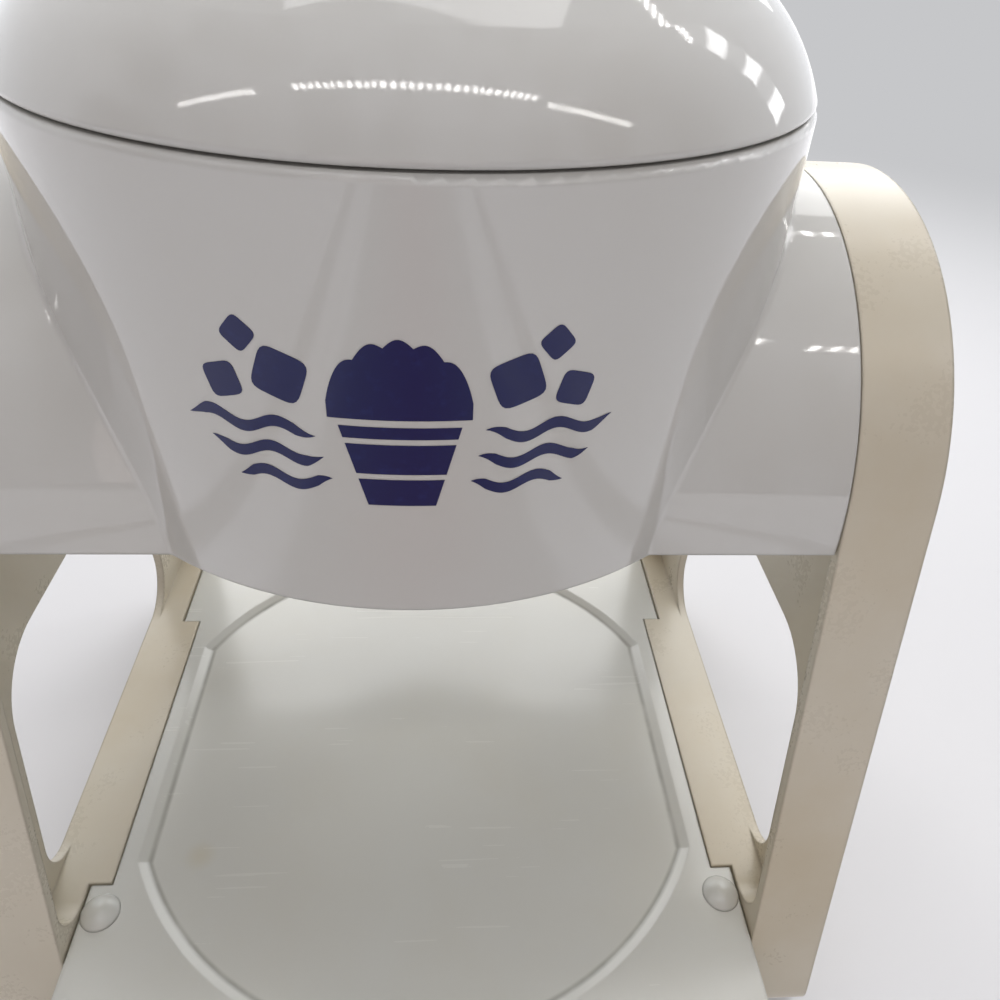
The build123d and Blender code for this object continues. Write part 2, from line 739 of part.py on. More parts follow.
def press_plate():
    """Disc that pushes the ice down and drives it round."""
    plate = axis_post(press_radius, press_low, press_top)
    plate = chamfer(plate.edges().sort_by(Axis.Z)[-1], press_edge_round)
    plate += axis_post(press_hub_radius, press_top, press_top + press_hub_height)
    rim = press_radius - press_rim_inset
    rib_top = press_top + press_rib_height
    plate += axis_post(rim, press_top, rib_top) - axis_post(rim - press_rib, 0, rib_top)
    spring_room = spring_radius + 2 * spring_wire
    for i in range(press_rib_count):
        rib = block(spring_room, rim - press_rib_sink, -press_rib / 2, press_rib / 2,
                    press_top - press_rib_sink, rib_top)
        plate += Pos(0, body_y, 0) * Rot(0, 0, i * 360.0 / press_rib_count) * rib
    for x, y in ring_places(press_hole_circle, press_hole_count, press_hole_angle):
        plate -= post(press_hole_radius, press_low - past, press_top + past, x, y)
    return plate - hex_bar(stem_across + 2 * fit_gap, press_low - past, press_top + press_hub_height + past)


def press_spikes():
    """Steel spikes under the press plate, in two rings."""
    root = Pos(0, 0, press_low) * RegularPolygon(spike_radius, 4)
    tip = Pos(0, 0, press_low - spike_length) * RegularPolygon(spike_tip_radius, 4)
    spike = loft([root, tip])
    spots = []
    for radius, count in zip(spike_ring_radii, spike_ring_counts):
        spots += ring_places(radius, count)
    return Compound(children=[Pos(x, y, 0) * spike for x, y in spots])


def press_spring():
    """Coil spring between the press plate and the spindle's collar."""
    low = press_top + spring_wire / 2 + fit_gap
    high = spindle_collar_low - spring_wire / 2 - fit_gap
    path = Helix(pitch=(high - low) / spring_turn_count, height=high - low, radius=spring_radius)
    start = Plane(origin=path @ 0, z_dir=path % 0)
    wire = sweep(start * RegularPolygon(spring_wire / 2, spring_side_count), path=path)
    return Pos(0, body_y, low) * wire


# --- crank and knob ---
def arm_plan(root, end):
    """Plan of the crank arm: two circles joined by their common tangents."""
    lean = acos((root - end) / crank_reach)
    sides = Polyline((root * cos(lean), root * sin(lean)), (crank_reach + end * cos(lean), end * sin(lean)),
                     (crank_reach + end * cos(lean), -end * sin(lean)), (root * cos(lean), -root * sin(lean)),
                     close=True)
    return Circle(root) + Pos(crank_reach, 0) * Circle(end) + make_face(sides)


def crank_arm():
    """Moulded crank: round hub, tapering arm hollow underneath, and a boss for the knob's pin."""
    arm = extrude(Pos(0, body_y, arm_low) * arm_plan(crank_root_radius, crank_end_radius),
                  amount=crank_arm_height)
    arm = fillet(arm.faces().sort_by(Axis.Z)[-1].edges(), crank_edge_round)
    pocket = extrude(Pos(0, body_y, arm_low) * arm_plan(crank_root_radius - crank_wall,
                                                        crank_end_radius - crank_wall), amount=crank_pocket)
    arm -= pocket
    inside = arm_low + crank_pocket_margin
    middle = block(0, crank_reach, body_y - crank_wall / 2, body_y + crank_wall / 2, inside,
                   arm_low + crank_pocket)
    boss = post(pin_foot_radius + crank_wall, inside, arm_high - crank_pocket_margin, crank_reach, body_y)
    hub = axis_post(crank_hub_radius, crank_low, crank_top)
    hub = fillet(hub.edges().sort_by(Axis.Z)[-1], crank_edge_round)
    arm += middle + boss
    arm += hub
    arm -= flatted(spindle_radius + fit_gap, spindle_flat + 2 * fit_gap, crank_low - past, crank_top + past)
    arm -= post(pin_foot_radius + fit_gap, arm_low, arm_high + past, crank_reach, body_y)
    return arm


def hub_cap():
    """Domed nut on the spindle's end."""
    cap = axis_post(cap_radius, crank_top, crank_top + cap_height)
    cap = fillet(cap.edges().sort_by(Axis.Z)[-1], cap_round)
    return cap - axis_post(spindle_neck_radius + fit_gap, crank_top, crank_top + spindle_neck + cap_play)


def knob_levels():
    """Lower face, well floor and top of the knob."""
    low = arm_high + knob_gap
    return low, low + knob_height - knob_well_depth, low + knob_height


def knob_pin():
    """Shouldered pin that carries the knob, riveted under the arm."""
    low, well, top = knob_levels()
    head_low = well + small_gap
    pin = post(pin_radius, arm_high, head_low, crank_reach, body_y)
    pin += post(pin_head_radius, head_low, head_low + pin_head, crank_reach, body_y)
    rivet_top = arm_low + crank_pocket_margin
    pin += post(pin_foot_radius, rivet_top, arm_high, crank_reach, body_y)
    return pin + post(pin_rivet_radius, rivet_top - pin_rivet_height, rivet_top, crank_reach, body_y)


def crank_knob():
    """Turned knob: narrow waist, full round top, with a well for the pin's head."""
    low, well, top = knob_levels()
    mouth = knob_well_radius + knob_lip
    profile = [
        Line((0, low), (knob_base_radius, low)),
        Spline([(knob_base_radius, low), (knob_waist_radius, low + knob_waist_height),
                (knob_top_radius, low + knob_top_height), (mouth, top)], tangents=[(0, 1), (-1, 0.35)]),
        Line((mouth, top), (0, top)),
        Line((0, top), (0, low)),
    ]
    knob = Pos(crank_reach, body_y, 0) * revolve(Plane.XZ * make_face(profile), Axis.Z)
    knob = fillet(knob.edges().sort_by(Axis.Z)[0], knob_base_round)
    knob -= post(pin_radius + pin_clearance, low - past, top, crank_reach, body_y)
    return knob - post(knob_well_radius, well, top + past, crank_reach, body_y)


def knob_cap():
    """Plug that closes the knob's well."""
    low, well, top = knob_levels()
    cap = post(knob_well_radius - fit_gap, top - knob_cap_thickness, top + knob_cap_rise, crank_reach, body_y)
    return fillet(cap.edges().sort_by(Axis.Z)[-1], knob_cap_round)


right_frame = side_frame()
pieces = {
    "base_tray": base_tray(),
    "tray_studs": tray_studs(),
    "rubber_feet": rubber_feet(),
    "side_frame_right": right_frame,
    "side_frame_left": mirror(right_frame, about=Plane.YZ),
    "head_screws": side_screws(head_shank_radius, head_boss_depth, head_screw_places()),
    "rail_screws": side_screws(rail_shank_radius, rail_boss_depth, [(y, rail_screw_z) for y in rail_screw_y]),
    "body_housing": body_housing(),
    "ice_chamber": ice_chamber(),
    "chamber_screws": chamber_screws(),
    "blade": blade(),
    "blade_clamp": blade_clamp(),
    "blade_screws": blade_screws(),
    "lid_dome": lid_dome(),
    "lid_guard": lid_guard(),
    "lid_screws": lid_screws(),
    "shaft_bush": shaft_bush(),
    "thrust_washer": thrust_washer(),
    "crank_spindle": crank_spindle(),
    "press_spring": press_spring(),
    "press_stem": press_stem(),
    "press_plate": press_plate(),
    "press_spikes": press_spikes(),
    "crank_arm": crank_arm(),
    "hub_cap": hub_cap(),
    "knob_pin": knob_pin(),
    "crank_knob": crank_knob(),
    "knob_cap": knob_cap(),
}

os.makedirs("parts", exist_ok=True)
for name, piece in pieces.items():
    export_step(piece, f"parts/{name}.step")
    print(name, len(piece.solids()), "solid(s)")
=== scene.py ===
import bpy
import bmesh
import json
from math import cos, pi, radians, sin, sqrt
from mathutils import Matrix, Vector


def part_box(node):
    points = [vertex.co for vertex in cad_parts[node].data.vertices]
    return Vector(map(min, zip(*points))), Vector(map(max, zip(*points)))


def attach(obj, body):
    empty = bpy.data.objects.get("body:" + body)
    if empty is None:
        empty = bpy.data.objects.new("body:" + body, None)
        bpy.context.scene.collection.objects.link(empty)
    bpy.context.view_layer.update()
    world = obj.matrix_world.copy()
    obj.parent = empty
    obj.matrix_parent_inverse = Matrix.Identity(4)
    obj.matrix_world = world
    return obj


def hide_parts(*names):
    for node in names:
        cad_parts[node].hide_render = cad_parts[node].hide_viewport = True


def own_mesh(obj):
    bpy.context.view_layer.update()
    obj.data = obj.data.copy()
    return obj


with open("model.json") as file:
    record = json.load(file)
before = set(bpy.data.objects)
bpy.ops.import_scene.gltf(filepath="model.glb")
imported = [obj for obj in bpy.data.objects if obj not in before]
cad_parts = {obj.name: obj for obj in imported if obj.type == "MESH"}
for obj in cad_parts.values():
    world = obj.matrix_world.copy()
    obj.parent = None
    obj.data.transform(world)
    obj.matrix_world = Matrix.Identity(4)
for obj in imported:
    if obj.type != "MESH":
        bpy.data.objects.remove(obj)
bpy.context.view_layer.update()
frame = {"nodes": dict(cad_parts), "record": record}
scene = bpy.context.scene
mm = 0.001

# places that many pieces share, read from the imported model
bodyLow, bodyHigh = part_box("body_housing")
trayLow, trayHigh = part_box("base_tray")
bodyY = (bodyLow.y + bodyHigh.y) / 2
trayY = (trayLow.y + trayHigh.y) / 2
print("frame loaded", len(frame["nodes"]), "nodes")


# small helpers for node trees
def feed(tree, socket, value):
    # links another node's output, or sets a constant
    if isinstance(value, bpy.types.NodeSocket):
        tree.links.new(value, socket)
    else:
        socket.default_value = value


def axesOf(tree, vector):
    node = tree.nodes.new("ShaderNodeSeparateXYZ")
    tree.links.new(vector, node.inputs[0])
    return node.outputs


def mathNode(tree, operation, a, b=None, c=None, clamp=False):
    node = tree.nodes.new("ShaderNodeMath")
    node.operation = operation
    node.use_clamp = clamp
    for index, value in enumerate((a, b, c)):
        if value is not None:
            feed(tree, node.inputs[index], value)
    return node.outputs[0]


def vectorNode(tree, operation, *values):
    node = tree.nodes.new("ShaderNodeVectorMath")
    node.operation = operation
    for index, value in enumerate(values):
        feed(tree, node.inputs[index], value)
    return node.outputs


def noiseNode(tree, vector, scale, detail=2.0, rough=0.5, warp=0.0):
    node = tree.nodes.new("ShaderNodeTexNoise")
    for label, value in (("Vector", vector), ("Scale", scale), ("Detail", detail), ("Roughness", rough),
                         ("Distortion", warp)):
        feed(tree, node.inputs[label], value)
    return node.outputs["Fac"]


def rangeNode(tree, value, low, high, toLow=0.0, toHigh=1.0):
    node = tree.nodes.new("ShaderNodeMapRange")
    node.interpolation_type = "SMOOTHSTEP"
    for label, number in (("Value", value), ("From Min", low), ("From Max", high), ("To Min", toLow),
                          ("To Max", toHigh)):
        feed(tree, node.inputs[label], number)
    return node.outputs["Result"]


def mixColour(tree, factor, first, second):
    node = tree.nodes.new("ShaderNodeMix")
    node.data_type = "RGBA"
    for index, value in ((0, factor), (6, first), (7, second)):
        feed(tree, node.inputs[index], value)
    return node.outputs[2]


def mixShader(tree, factor, first, second):
    node = tree.nodes.new("ShaderNodeMixShader")
    for index, value in enumerate((factor, first, second)):
        tree.links.new(value, node.inputs[index])
    return node.outputs[0]


def glow(tree, kind, colour, strength=1.0):
    # plain light: "Background" in the world, "Emission" on a surface
    node = tree.nodes.new("ShaderNode" + kind)
    feed(tree, node.inputs["Color"], colour)
    node.inputs["Strength"].default_value = strength
    return node.outputs[0]


# camera: a phone held a hand's width away, looking down on the body's front
cameraView = {
    "place": (0.00458, bodyY - 0.17175, bodyLow.z + 0.0987),
    "yaw": 5.407,      # degrees, turned to the right
    "pitch": 37.533,   # degrees, looking down
    "roll": 3.666,     # degrees, the picture leans
    "focal": 28.55,
    "sensor": 36.0,
    "near": 0.005,     # metres; the object begins just in front of the lens
}


def addCamera(view):
    yaw, pitch, roll = (radians(view[key]) for key in ("yaw", "pitch", "roll"))
    forward = Vector((sin(yaw) * cos(pitch), cos(yaw) * cos(pitch), -sin(pitch)))
    level = Vector((cos(yaw), -sin(yaw), 0))
    rise = level.cross(forward)
    right = cos(roll) * level + sin(roll) * rise
    up = cos(roll) * rise - sin(roll) * level
    data = bpy.data.cameras.new("photoCamera")
    data.lens = view["focal"]
    data.sensor_width = view["sensor"]
    data.clip_start = view["near"]
    cam = bpy.data.objects.new("photoCamera", data)
    turn = Matrix((right, up, -forward)).transposed().to_4x4()
    cam.matrix_world = Matrix.Translation(view["place"]) @ turn
    scene.collection.objects.link(cam)
    scene.camera = cam


addCamera(cameraView)
scene.view_settings.view_transform = "Standard"
print("camera placed")


# lights and backdrop: a bright room behind and above, a dimmer one in front
studio = {
    "ambient": (0.97, 0.96, 1.0, 1),
    "ambientStrength": 0.235,
    "backdrop": (0.565, 0.57, 0.585, 1),
    # the room as glossy surfaces show it
    "mirrorBack": (1.25, 1.27, 1.32, 1),
    "mirrorFront": (0.26, 0.24, 0.235, 1),
    "mirrorTurn": (-0.35, 0.35),      # from the front part to the back part
    "mirrorRise": (0.45, 0.95),       # from the walls to the ceiling
    "ceilingShare": 0.75,             # the ceiling's brightness, as a share of the back part's
    "panelContrast": 0.4,             # upright panels on the walls
    "panelStretch": (3.2, 1.0, 0.35),
    "panelNoise": (2.6, 1.0),
    "panelEdge": (0.42, 0.6),
    # paper under the object
    "floor": (0.64, 0.64, 0.66, 1),
    "floorRough": 0.85,
    "floorSpecular": 0.1,
    "floorGlow": 0.16,                # added for the camera alone
    "floorSize": 9.0,
    "floorFade": (0.28, 1.0),         # metres from the middle, over which it turns into the backdrop
    # painted reflection: glowing patches on the paper, seen only in the object's gloss: metres to each side, and to
    # the front
    "reflectGlowBright": (1.45, 1.45, 1.5, 1),
    "reflectGlowDull": (0.85, 0.83, 0.82, 1),
    "nearReflectGlow": ((0.13, 0.16), (0.20, 0.215)),
    "farReflectGlow": (0.235, 0.245),
    # painted reflection: a pink glow in front, seen only in the object's gloss
    "frontPink": (0.72, 0.50, 0.50, 1),
    "pinkDepth": (-0.24, -0.12),
    "pinkWidth": (0.0, 0.15),
    # bulbs: the part of a sine wave over which they brighten, strength between them and at them
    "bulbEdge": (-0.3, 0.6),
    "bulbGlow": (0.12, 1.75),
    # name: place, size x, size y, watts, colour, bulbs along it, aimed at
    "lamps": {
        "stripMiddle": ((0.01, -0.49, 1.03), 0.93, 0.045, 1.9, (1.0, 0.98, 0.95), 30, (0.01, -0.49, 0.0)),
        "stripLeft": ((-0.92, -0.50, 1.03), 0.58, 0.045, 1.0, (1.0, 0.98, 0.95), 18, (-0.92, -0.50, 0.0)),
        "stripRight": ((0.84, -0.53, 1.03), 0.60, 0.045, 1.1, (1.0, 0.98, 0.95), 19, (0.84, -0.53, 0.0)),
        "stripBack": ((0.70, 0.37, 1.03), 0.50, 0.04, 0.8, (1.0, 0.98, 0.96), 16, (0.70, 0.37, 0.0)),
        "overhead": ((0.05, 0.40, 1.30), 1.0, 0.8, 6.8, (1.0, 1.0, 0.99), 0, (0.0, 0.0, 0.14)),
        "windowRight": ((1.0, 0.47, 0.72), 0.15, 0.70, 1.1, (1.0, 1.0, 1.0), 3, (0.05, 0.0, 0.2)),
        "backSoft": ((0.10, 0.95, 0.80), 1.4, 0.8, 10.0, (1.0, 1.0, 0.99), 0, (0.0, 0.0, 0.04)),
        "warmFront": ((-0.1, -1.3, 0.55), 1.0, 0.8, 2.15, (1.0, 0.82, 0.78), 0, (0.0, 0.0, 0.12)),
    },
}


def addLamp(name, place, sizeX, sizeY, watts, colour, bulbs, target):
    data = bpy.data.lights.new(name, "AREA")
    data.shape = "RECTANGLE"
    data.size = sizeX
    data.size_y = sizeY
    data.energy = watts
    data.color = colour
    if bulbs:
        # a row of separate bulbs along the lamp's longer side
        data.use_nodes = True
        tree = data.node_tree
        spot = axesOf(tree, tree.nodes.new("ShaderNodeNewGeometry").outputs["Parametric"])
        share = spot["X"] if sizeX > sizeY else spot["Y"]
        beat = mathNode(tree, "SINE", mathNode(tree, "MULTIPLY", share, 2 * pi * bulbs))
        strength = rangeNode(tree, beat, *studio["bulbEdge"], *studio["bulbGlow"])
        tree.links.new(strength, tree.nodes["Emission"].inputs["Strength"])
    lamp = bpy.data.objects.new(name, data)
    lamp.location = place
    lamp.rotation_euler = (Vector(target) - Vector(place)).to_track_quat("-Z", "Y").to_euler()
    scene.collection.objects.link(lamp)


def buildWorld(values):
    world = bpy.data.worlds.new("studioWorld")
    scene.world = world
    world.use_nodes = True
    tree = world.node_tree
    tree.nodes.clear()
    out = tree.nodes.new("ShaderNodeOutputWorld")
    path = tree.nodes.new("ShaderNodeLightPath").outputs
    around = tree.nodes.new("ShaderNodeTexCoord").outputs["Generated"]
    way = axesOf(tree, around)
    squeeze = tree.nodes.new("ShaderNodeMapping")
    squeeze.inputs["Scale"].default_value = values["panelStretch"]
    tree.links.new(around, squeeze.inputs["Vector"])
    panels = rangeNode(tree, noiseNode(tree, squeeze.outputs["Vector"], *values["panelNoise"]), *values["panelEdge"])
    behind = rangeNode(tree, way["Y"], *values["mirrorTurn"])
    ceiling = mathNode(tree, "MULTIPLY", rangeNode(tree, way["Z"], *values["mirrorRise"]), values["ceilingShare"])
    bright = mathNode(tree, "MAXIMUM", behind, ceiling)
    panelled = mathNode(tree, "MULTIPLY_ADD", panels, values["panelContrast"], bright, clamp=True)
    mirror = mixColour(tree, panelled, values["mirrorFront"], values["mirrorBack"])
    seen = mathNode(tree, "MAXIMUM", path["Is Camera Ray"], path["Is Transmission Ray"])
    plain = mixShader(tree, seen, glow(tree, "Background", values["ambient"], values["ambientStrength"]),
                      glow(tree, "Background", values["backdrop"]))
    whole = mixShader(tree, path["Is Glossy Ray"], plain, glow(tree, "Background", mirror))
    tree.links.new(whole, out.inputs["Surface"])


def addFloor(values):
    half = values["floorSize"] / 2
    mesh = bpy.data.meshes.new("floor")
    corners = [(-half, -half, 0), (half, -half, 0), (half, half, 0), (-half, half, 0)]
    mesh.from_pydata(corners, [], [(0, 1, 2, 3)])
    floor = bpy.data.objects.new("floor", mesh)
    scene.collection.objects.link(floor)
    mat = bpy.data.materials.new("floorPaper")
    mat.use_nodes = True
    tree = mat.node_tree
    shade = tree.nodes["Principled BSDF"]
    path = tree.nodes.new("ShaderNodeLightPath").outputs
    added = mathNode(tree, "MULTIPLY", path["Is Camera Ray"], values["floorGlow"])
    for label, value in (("Base Color", values["floor"]), ("Emission Color", values["floor"]),
                         ("Emission Strength", added), ("Roughness", values["floorRough"]),
                         ("Specular IOR Level", values["floorSpecular"])):
        feed(tree, shade.inputs[label], value)
    place = tree.nodes.new("ShaderNodeNewGeometry").outputs["Position"]
    spot = axesOf(tree, place)
    # the far floor turns into the backdrop, so that no horizon shows
    fade = rangeNode(tree, vectorNode(tree, "LENGTH", place)["Value"], *values["floorFade"])
    faded = mathNode(tree, "MULTIPLY", fade, path["Is Camera Ray"])
    seen = mixShader(tree, faded, shade.outputs[0], glow(tree, "Emission", values["backdrop"]))
    # painted reflection: for glossy rays the floor glows, with bright patches to the sides and pink in front
    side = mathNode(tree, "ABSOLUTE", spot["X"])
    start, end = values["nearReflectGlow"]
    near = mathNode(tree, "MULTIPLY", rangeNode(tree, side, *start), rangeNode(tree, side, *end, 1.0, 0.0))
    bright = mathNode(tree, "MAXIMUM", near, rangeNode(tree, side, *values["farReflectGlow"]))
    reflectGlow = mixColour(tree, bright, values["reflectGlowDull"], values["reflectGlowBright"])
    ahead = mathNode(tree, "MULTIPLY", rangeNode(tree, spot["Y"], *values["pinkDepth"], 1.0, 0.0),
                     rangeNode(tree, side, *values["pinkWidth"], 1.0, 0.0))
    mirrored = glow(tree, "Emission", mixColour(tree, ahead, reflectGlow, values["frontPink"]))
    whole = mixShader(tree, path["Is Glossy Ray"], seen, mirrored)
    tree.links.new(whole, tree.nodes["Material Output"].inputs["Surface"])
    mesh.materials.append(mat)


buildWorld(studio)
addFloor(studio)
for lampName, lampFacts in studio["lamps"].items():
    addLamp(lampName, *lampFacts)
print("studio lit")


# shader node groups
def newGroup(name, ins, outs):
    group = bpy.data.node_groups.new(name, "ShaderNodeTree")
    for label, kind, value in ins:
        socket = group.interface.new_socket(label, in_out="INPUT", socket_type="NodeSocket" + kind)
        if value is not None:
            socket.default_value = value
    for label, kind in outs:
        group.interface.new_socket(label, in_out="OUTPUT", socket_type="NodeSocket" + kind)
    return group, group.nodes.new("NodeGroupInput").outputs, group.nodes.new("NodeGroupOutput").inputs


def makeTintGroup():
    # slow clouds of a second colour, as in plastic that has aged unevenly
    fineRatio, fineShare, wideShare, cloudEdge = 9.0, 0.2, 0.88, (0.38, 0.78)
    group, gin, gout = newGroup(
        "agedTint",
        [("Vector", "Vector", None), ("Scale", "Float", 18.0), ("Amount", "Float", 0.5),
         ("Base", "Color", (0.8, 0.8, 0.8, 1)), ("Aged", "Color", (0.8, 0.75, 0.6, 1))],
        [("Color", "Color")])
    wide = noiseNode(group, gin["Vector"], gin["Scale"], rough=0.55, warp=0.6)
    fineScale = mathNode(group, "MULTIPLY", gin["Scale"], fineRatio)
    fine = noiseNode(group, gin["Vector"], fineScale, detail=3.0, rough=0.6)
    both = mathNode(group, "MULTIPLY_ADD", fine, fineShare, mathNode(group, "MULTIPLY", wide, wideShare))
    scaled = mathNode(group, "MULTIPLY", rangeNode(group, both, *cloudEdge), gin["Amount"], clamp=True)
    group.links.new(mixColour(group, scaled, gin["Base"], gin["Aged"]), gout["Color"])
    return group


def makeGrainGroup():
    # moulded skin: long soft waves and a fine orange peel
    roughOfPeel, roughOfWave = 0.4, 0.6
    group, gin, gout = newGroup(
        "mouldGrain",
        [("Vector", "Vector", None), ("Wave", "Float", 60.0), ("Peel", "Float", 900.0), ("Peel Share", "Float", 0.2)],
        [("Height", "Float"), ("Rough Mask", "Float")])
    wave = noiseNode(group, gin["Vector"], gin["Wave"], detail=1.0, rough=0.4)
    peel = noiseNode(group, gin["Vector"], gin["Peel"])
    group.links.new(mathNode(group, "MULTIPLY_ADD", peel, gin["Peel Share"], wave), gout["Height"])
    rough = mathNode(group, "MULTIPLY_ADD", peel, roughOfPeel, mathNode(group, "MULTIPLY", wave, roughOfWave))
    group.links.new(rough, gout["Rough Mask"])
    return group


def makeScratchGroup():
    # hairline scratches in two directions (turn in radians, stretch), only in patches
    runs = ((0.5, 22.0), (-0.9, 30.0))
    lineEdge, patchScale, patchEdge = (0.68, 0.74), 35.0, (0.48, 0.62)
    group, gin, gout = newGroup(
        "hairScratches", [("Vector", "Vector", None), ("Scale", "Float", 40.0), ("Amount", "Float", 0.5)],
        [("Mask", "Float")])
    lines = []
    for turn, stretch in runs:
        mapping = group.nodes.new("ShaderNodeMapping")
        mapping.inputs["Rotation"].default_value = (0.2, turn * 0.4, turn)
        mapping.inputs["Scale"].default_value = (1.0, stretch, stretch)
        group.links.new(gin["Vector"], mapping.inputs["Vector"])
        streak = noiseNode(group, mapping.outputs["Vector"], gin["Scale"], detail=1.0, warp=0.1)
        lines.append(rangeNode(group, streak, *lineEdge))
    patch = rangeNode(group, noiseNode(group, gin["Vector"], patchScale, detail=1.0), *patchEdge)
    shown = mathNode(group, "MULTIPLY", mathNode(group, "MAXIMUM", *lines), patch)
    group.links.new(mathNode(group, "MULTIPLY", shown, gin["Amount"]), gout["Mask"])
    return group


def makeSpeckGroup():
    # sparse small specks of dirt, full in the inner part of their size
    core = 0.5
    group, gin, gout = newGroup(
        "straySpecks",
        [("Vector", "Vector", None), ("Scale", "Float", 90.0), ("Size", "Float", 0.08), ("Share", "Float", 0.1)],
        [("Mask", "Float")])
    cells = group.nodes.new("ShaderNodeTexVoronoi")
    for label in ("Vector", "Scale"):
        group.links.new(gin[label], cells.inputs[label])
    split = group.nodes.new("ShaderNodeSeparateColor")
    group.links.new(cells.outputs["Color"], split.inputs["Color"])
    chosen = mathNode(group, "LESS_THAN", split.outputs["Red"], gin["Share"])
    reach = mathNode(group, "MULTIPLY", gin["Size"], split.outputs["Green"])
    dot = rangeNode(group, cells.outputs["Distance"], mathNode(group, "MULTIPLY", reach, core), reach, 1.0, 0.0)
    group.links.new(mathNode(group, "MULTIPLY", dot, chosen), gout["Mask"])
    return group


def makeBrushGroup():
    # drawn or ground metal: fine lines along one axis
    group, gin, gout = newGroup(
        "groundLines",
        [("Vector", "Vector", None), ("Stretch", "Vector", (1.0, 40.0, 40.0)), ("Scale", "Float", 60.0)],
        [("Lines", "Float")])
    scaled = vectorNode(group, "MULTIPLY", gin["Vector"], gin["Stretch"])["Vector"]
    group.links.new(noiseNode(group, scaled, gin["Scale"], detail=3.0, rough=0.6), gout["Lines"])
    return group


agedTint = makeTintGroup()
mouldGrain = makeGrainGroup()
hairScratches = makeScratchGroup()
straySpecks = makeSpeckGroup()
groundLines = makeBrushGroup()
print("shader groups built")


def startMaterial(name):
    mat = bpy.data.materials.new(name)
    mat.use_nodes = True
    tree = mat.node_tree
    shade = tree.nodes["Principled BSDF"]
    coords = tree.nodes.new("ShaderNodeTexCoord")
    return mat, tree, shade, coords.outputs["Object"]


def useGroup(tree, group, vector, **values):
    node = tree.nodes.new("ShaderNodeGroup")
    node.node_tree = group
    tree.links.new(vector, node.inputs["Vector"])
    for label, value in values.items():
        node.inputs[label.replace("_", " ")].default_value = value
    return node


def spreadRough(tree, mask, look):
    # roughness over the range in which the noise masks lie
    return rangeNode(tree, mask, 0.3, 0.7, look["roughLow"], look["roughHigh"])


edgeRays = 3      # samples for each rounded edge


def addBump(tree, shade, height, strength, distance, edge=0.0):
    bump = tree.nodes.new("ShaderNodeBump")
    if edge:
        # edges catch the light as moulded ones do
        rounded = tree.nodes.new("ShaderNodeBevel")
        rounded.samples = edgeRays
        rounded.inputs["Radius"].default_value = edge
        tree.links.new(rounded.outputs["Normal"], bump.inputs["Normal"])
    bump.inputs["Strength"].default_value = strength
    bump.inputs["Distance"].default_value = distance
    tree.links.new(height, bump.inputs["Height"])
    tree.links.new(bump.outputs["Normal"], shade.inputs["Normal"])


recess = {
    "radius": 77.0 * mm,
    "halfWidth": 68.3 * mm,                 # between the two flats that clip it
    "line": 1.1 * mm,                       # width of the painted shade line in its corner
    "lineStrength": 0.75,
    "lineDrop": (6.0 * mm, 5.0 * mm),       # shown only above this drop from the tray's top
    # painted shade: the darker colour of the line in the recess's corner
    "shadeLineColour": (0.30, 0.295, 0.26, 1),
    "patchNoise": (90.0, 3.0),
    "patchEdge": (0.3, 0.6, 0.55, 1.0),
    "stain": (-56.3 * mm, -40.7 * mm, 4.6 * mm),   # a yellowed spot: x, y, drop from the tray's top
    "stainReach": 6.0 * mm,
    "stainCore": 0.15,
    "stainStrength": 0.4,
    "stainColour": (0.60, 0.50, 0.27, 1),
}


def recessShadeAndStain(tree, vector, base):
    # painted shade: a darker line along the recess's step, where shade falls; and one real yellowed stain
    spot = axesOf(tree, vector)
    depth = mathNode(tree, "SUBTRACT", spot["Y"], trayY)
    across = mathNode(tree, "ABSOLUTE", spot["X"])
    square = mathNode(tree, "MULTIPLY_ADD", depth, depth, mathNode(tree, "MULTIPLY", across, across))
    ring = mathNode(tree, "SUBTRACT", mathNode(tree, "SQRT", square), recess["radius"])
    flat = mathNode(tree, "SUBTRACT", across, recess["halfWidth"])
    gap = mathNode(tree, "ABSOLUTE", mathNode(tree, "MAXIMUM", ring, flat))
    line = rangeNode(tree, gap, 0.0, recess["line"], recess["lineStrength"], 0.0)
    uneven = rangeNode(tree, noiseNode(tree, vector, *recess["patchNoise"]), *recess["patchEdge"])
    above = rangeNode(tree, spot["Z"], *(trayHigh.z - drop for drop in recess["lineDrop"]))
    shown = mathNode(tree, "MULTIPLY", mathNode(tree, "MULTIPLY", line, uneven), above)
    shadedLine = mixColour(tree, shown, base, recess["shadeLineColour"])
    x, y, drop = recess["stain"]
    away = vectorNode(tree, "DISTANCE", vector, (x, y, trayHigh.z - drop))["Value"]
    reach = recess["stainReach"]
    near = rangeNode(tree, away, reach * recess["stainCore"], reach, recess["stainStrength"], 0.0)
    return mixColour(tree, near, shadedLine, recess["stainColour"])


scratchRough, scratchDepth = 0.25, 0.15     # added to the roughness, taken off the height


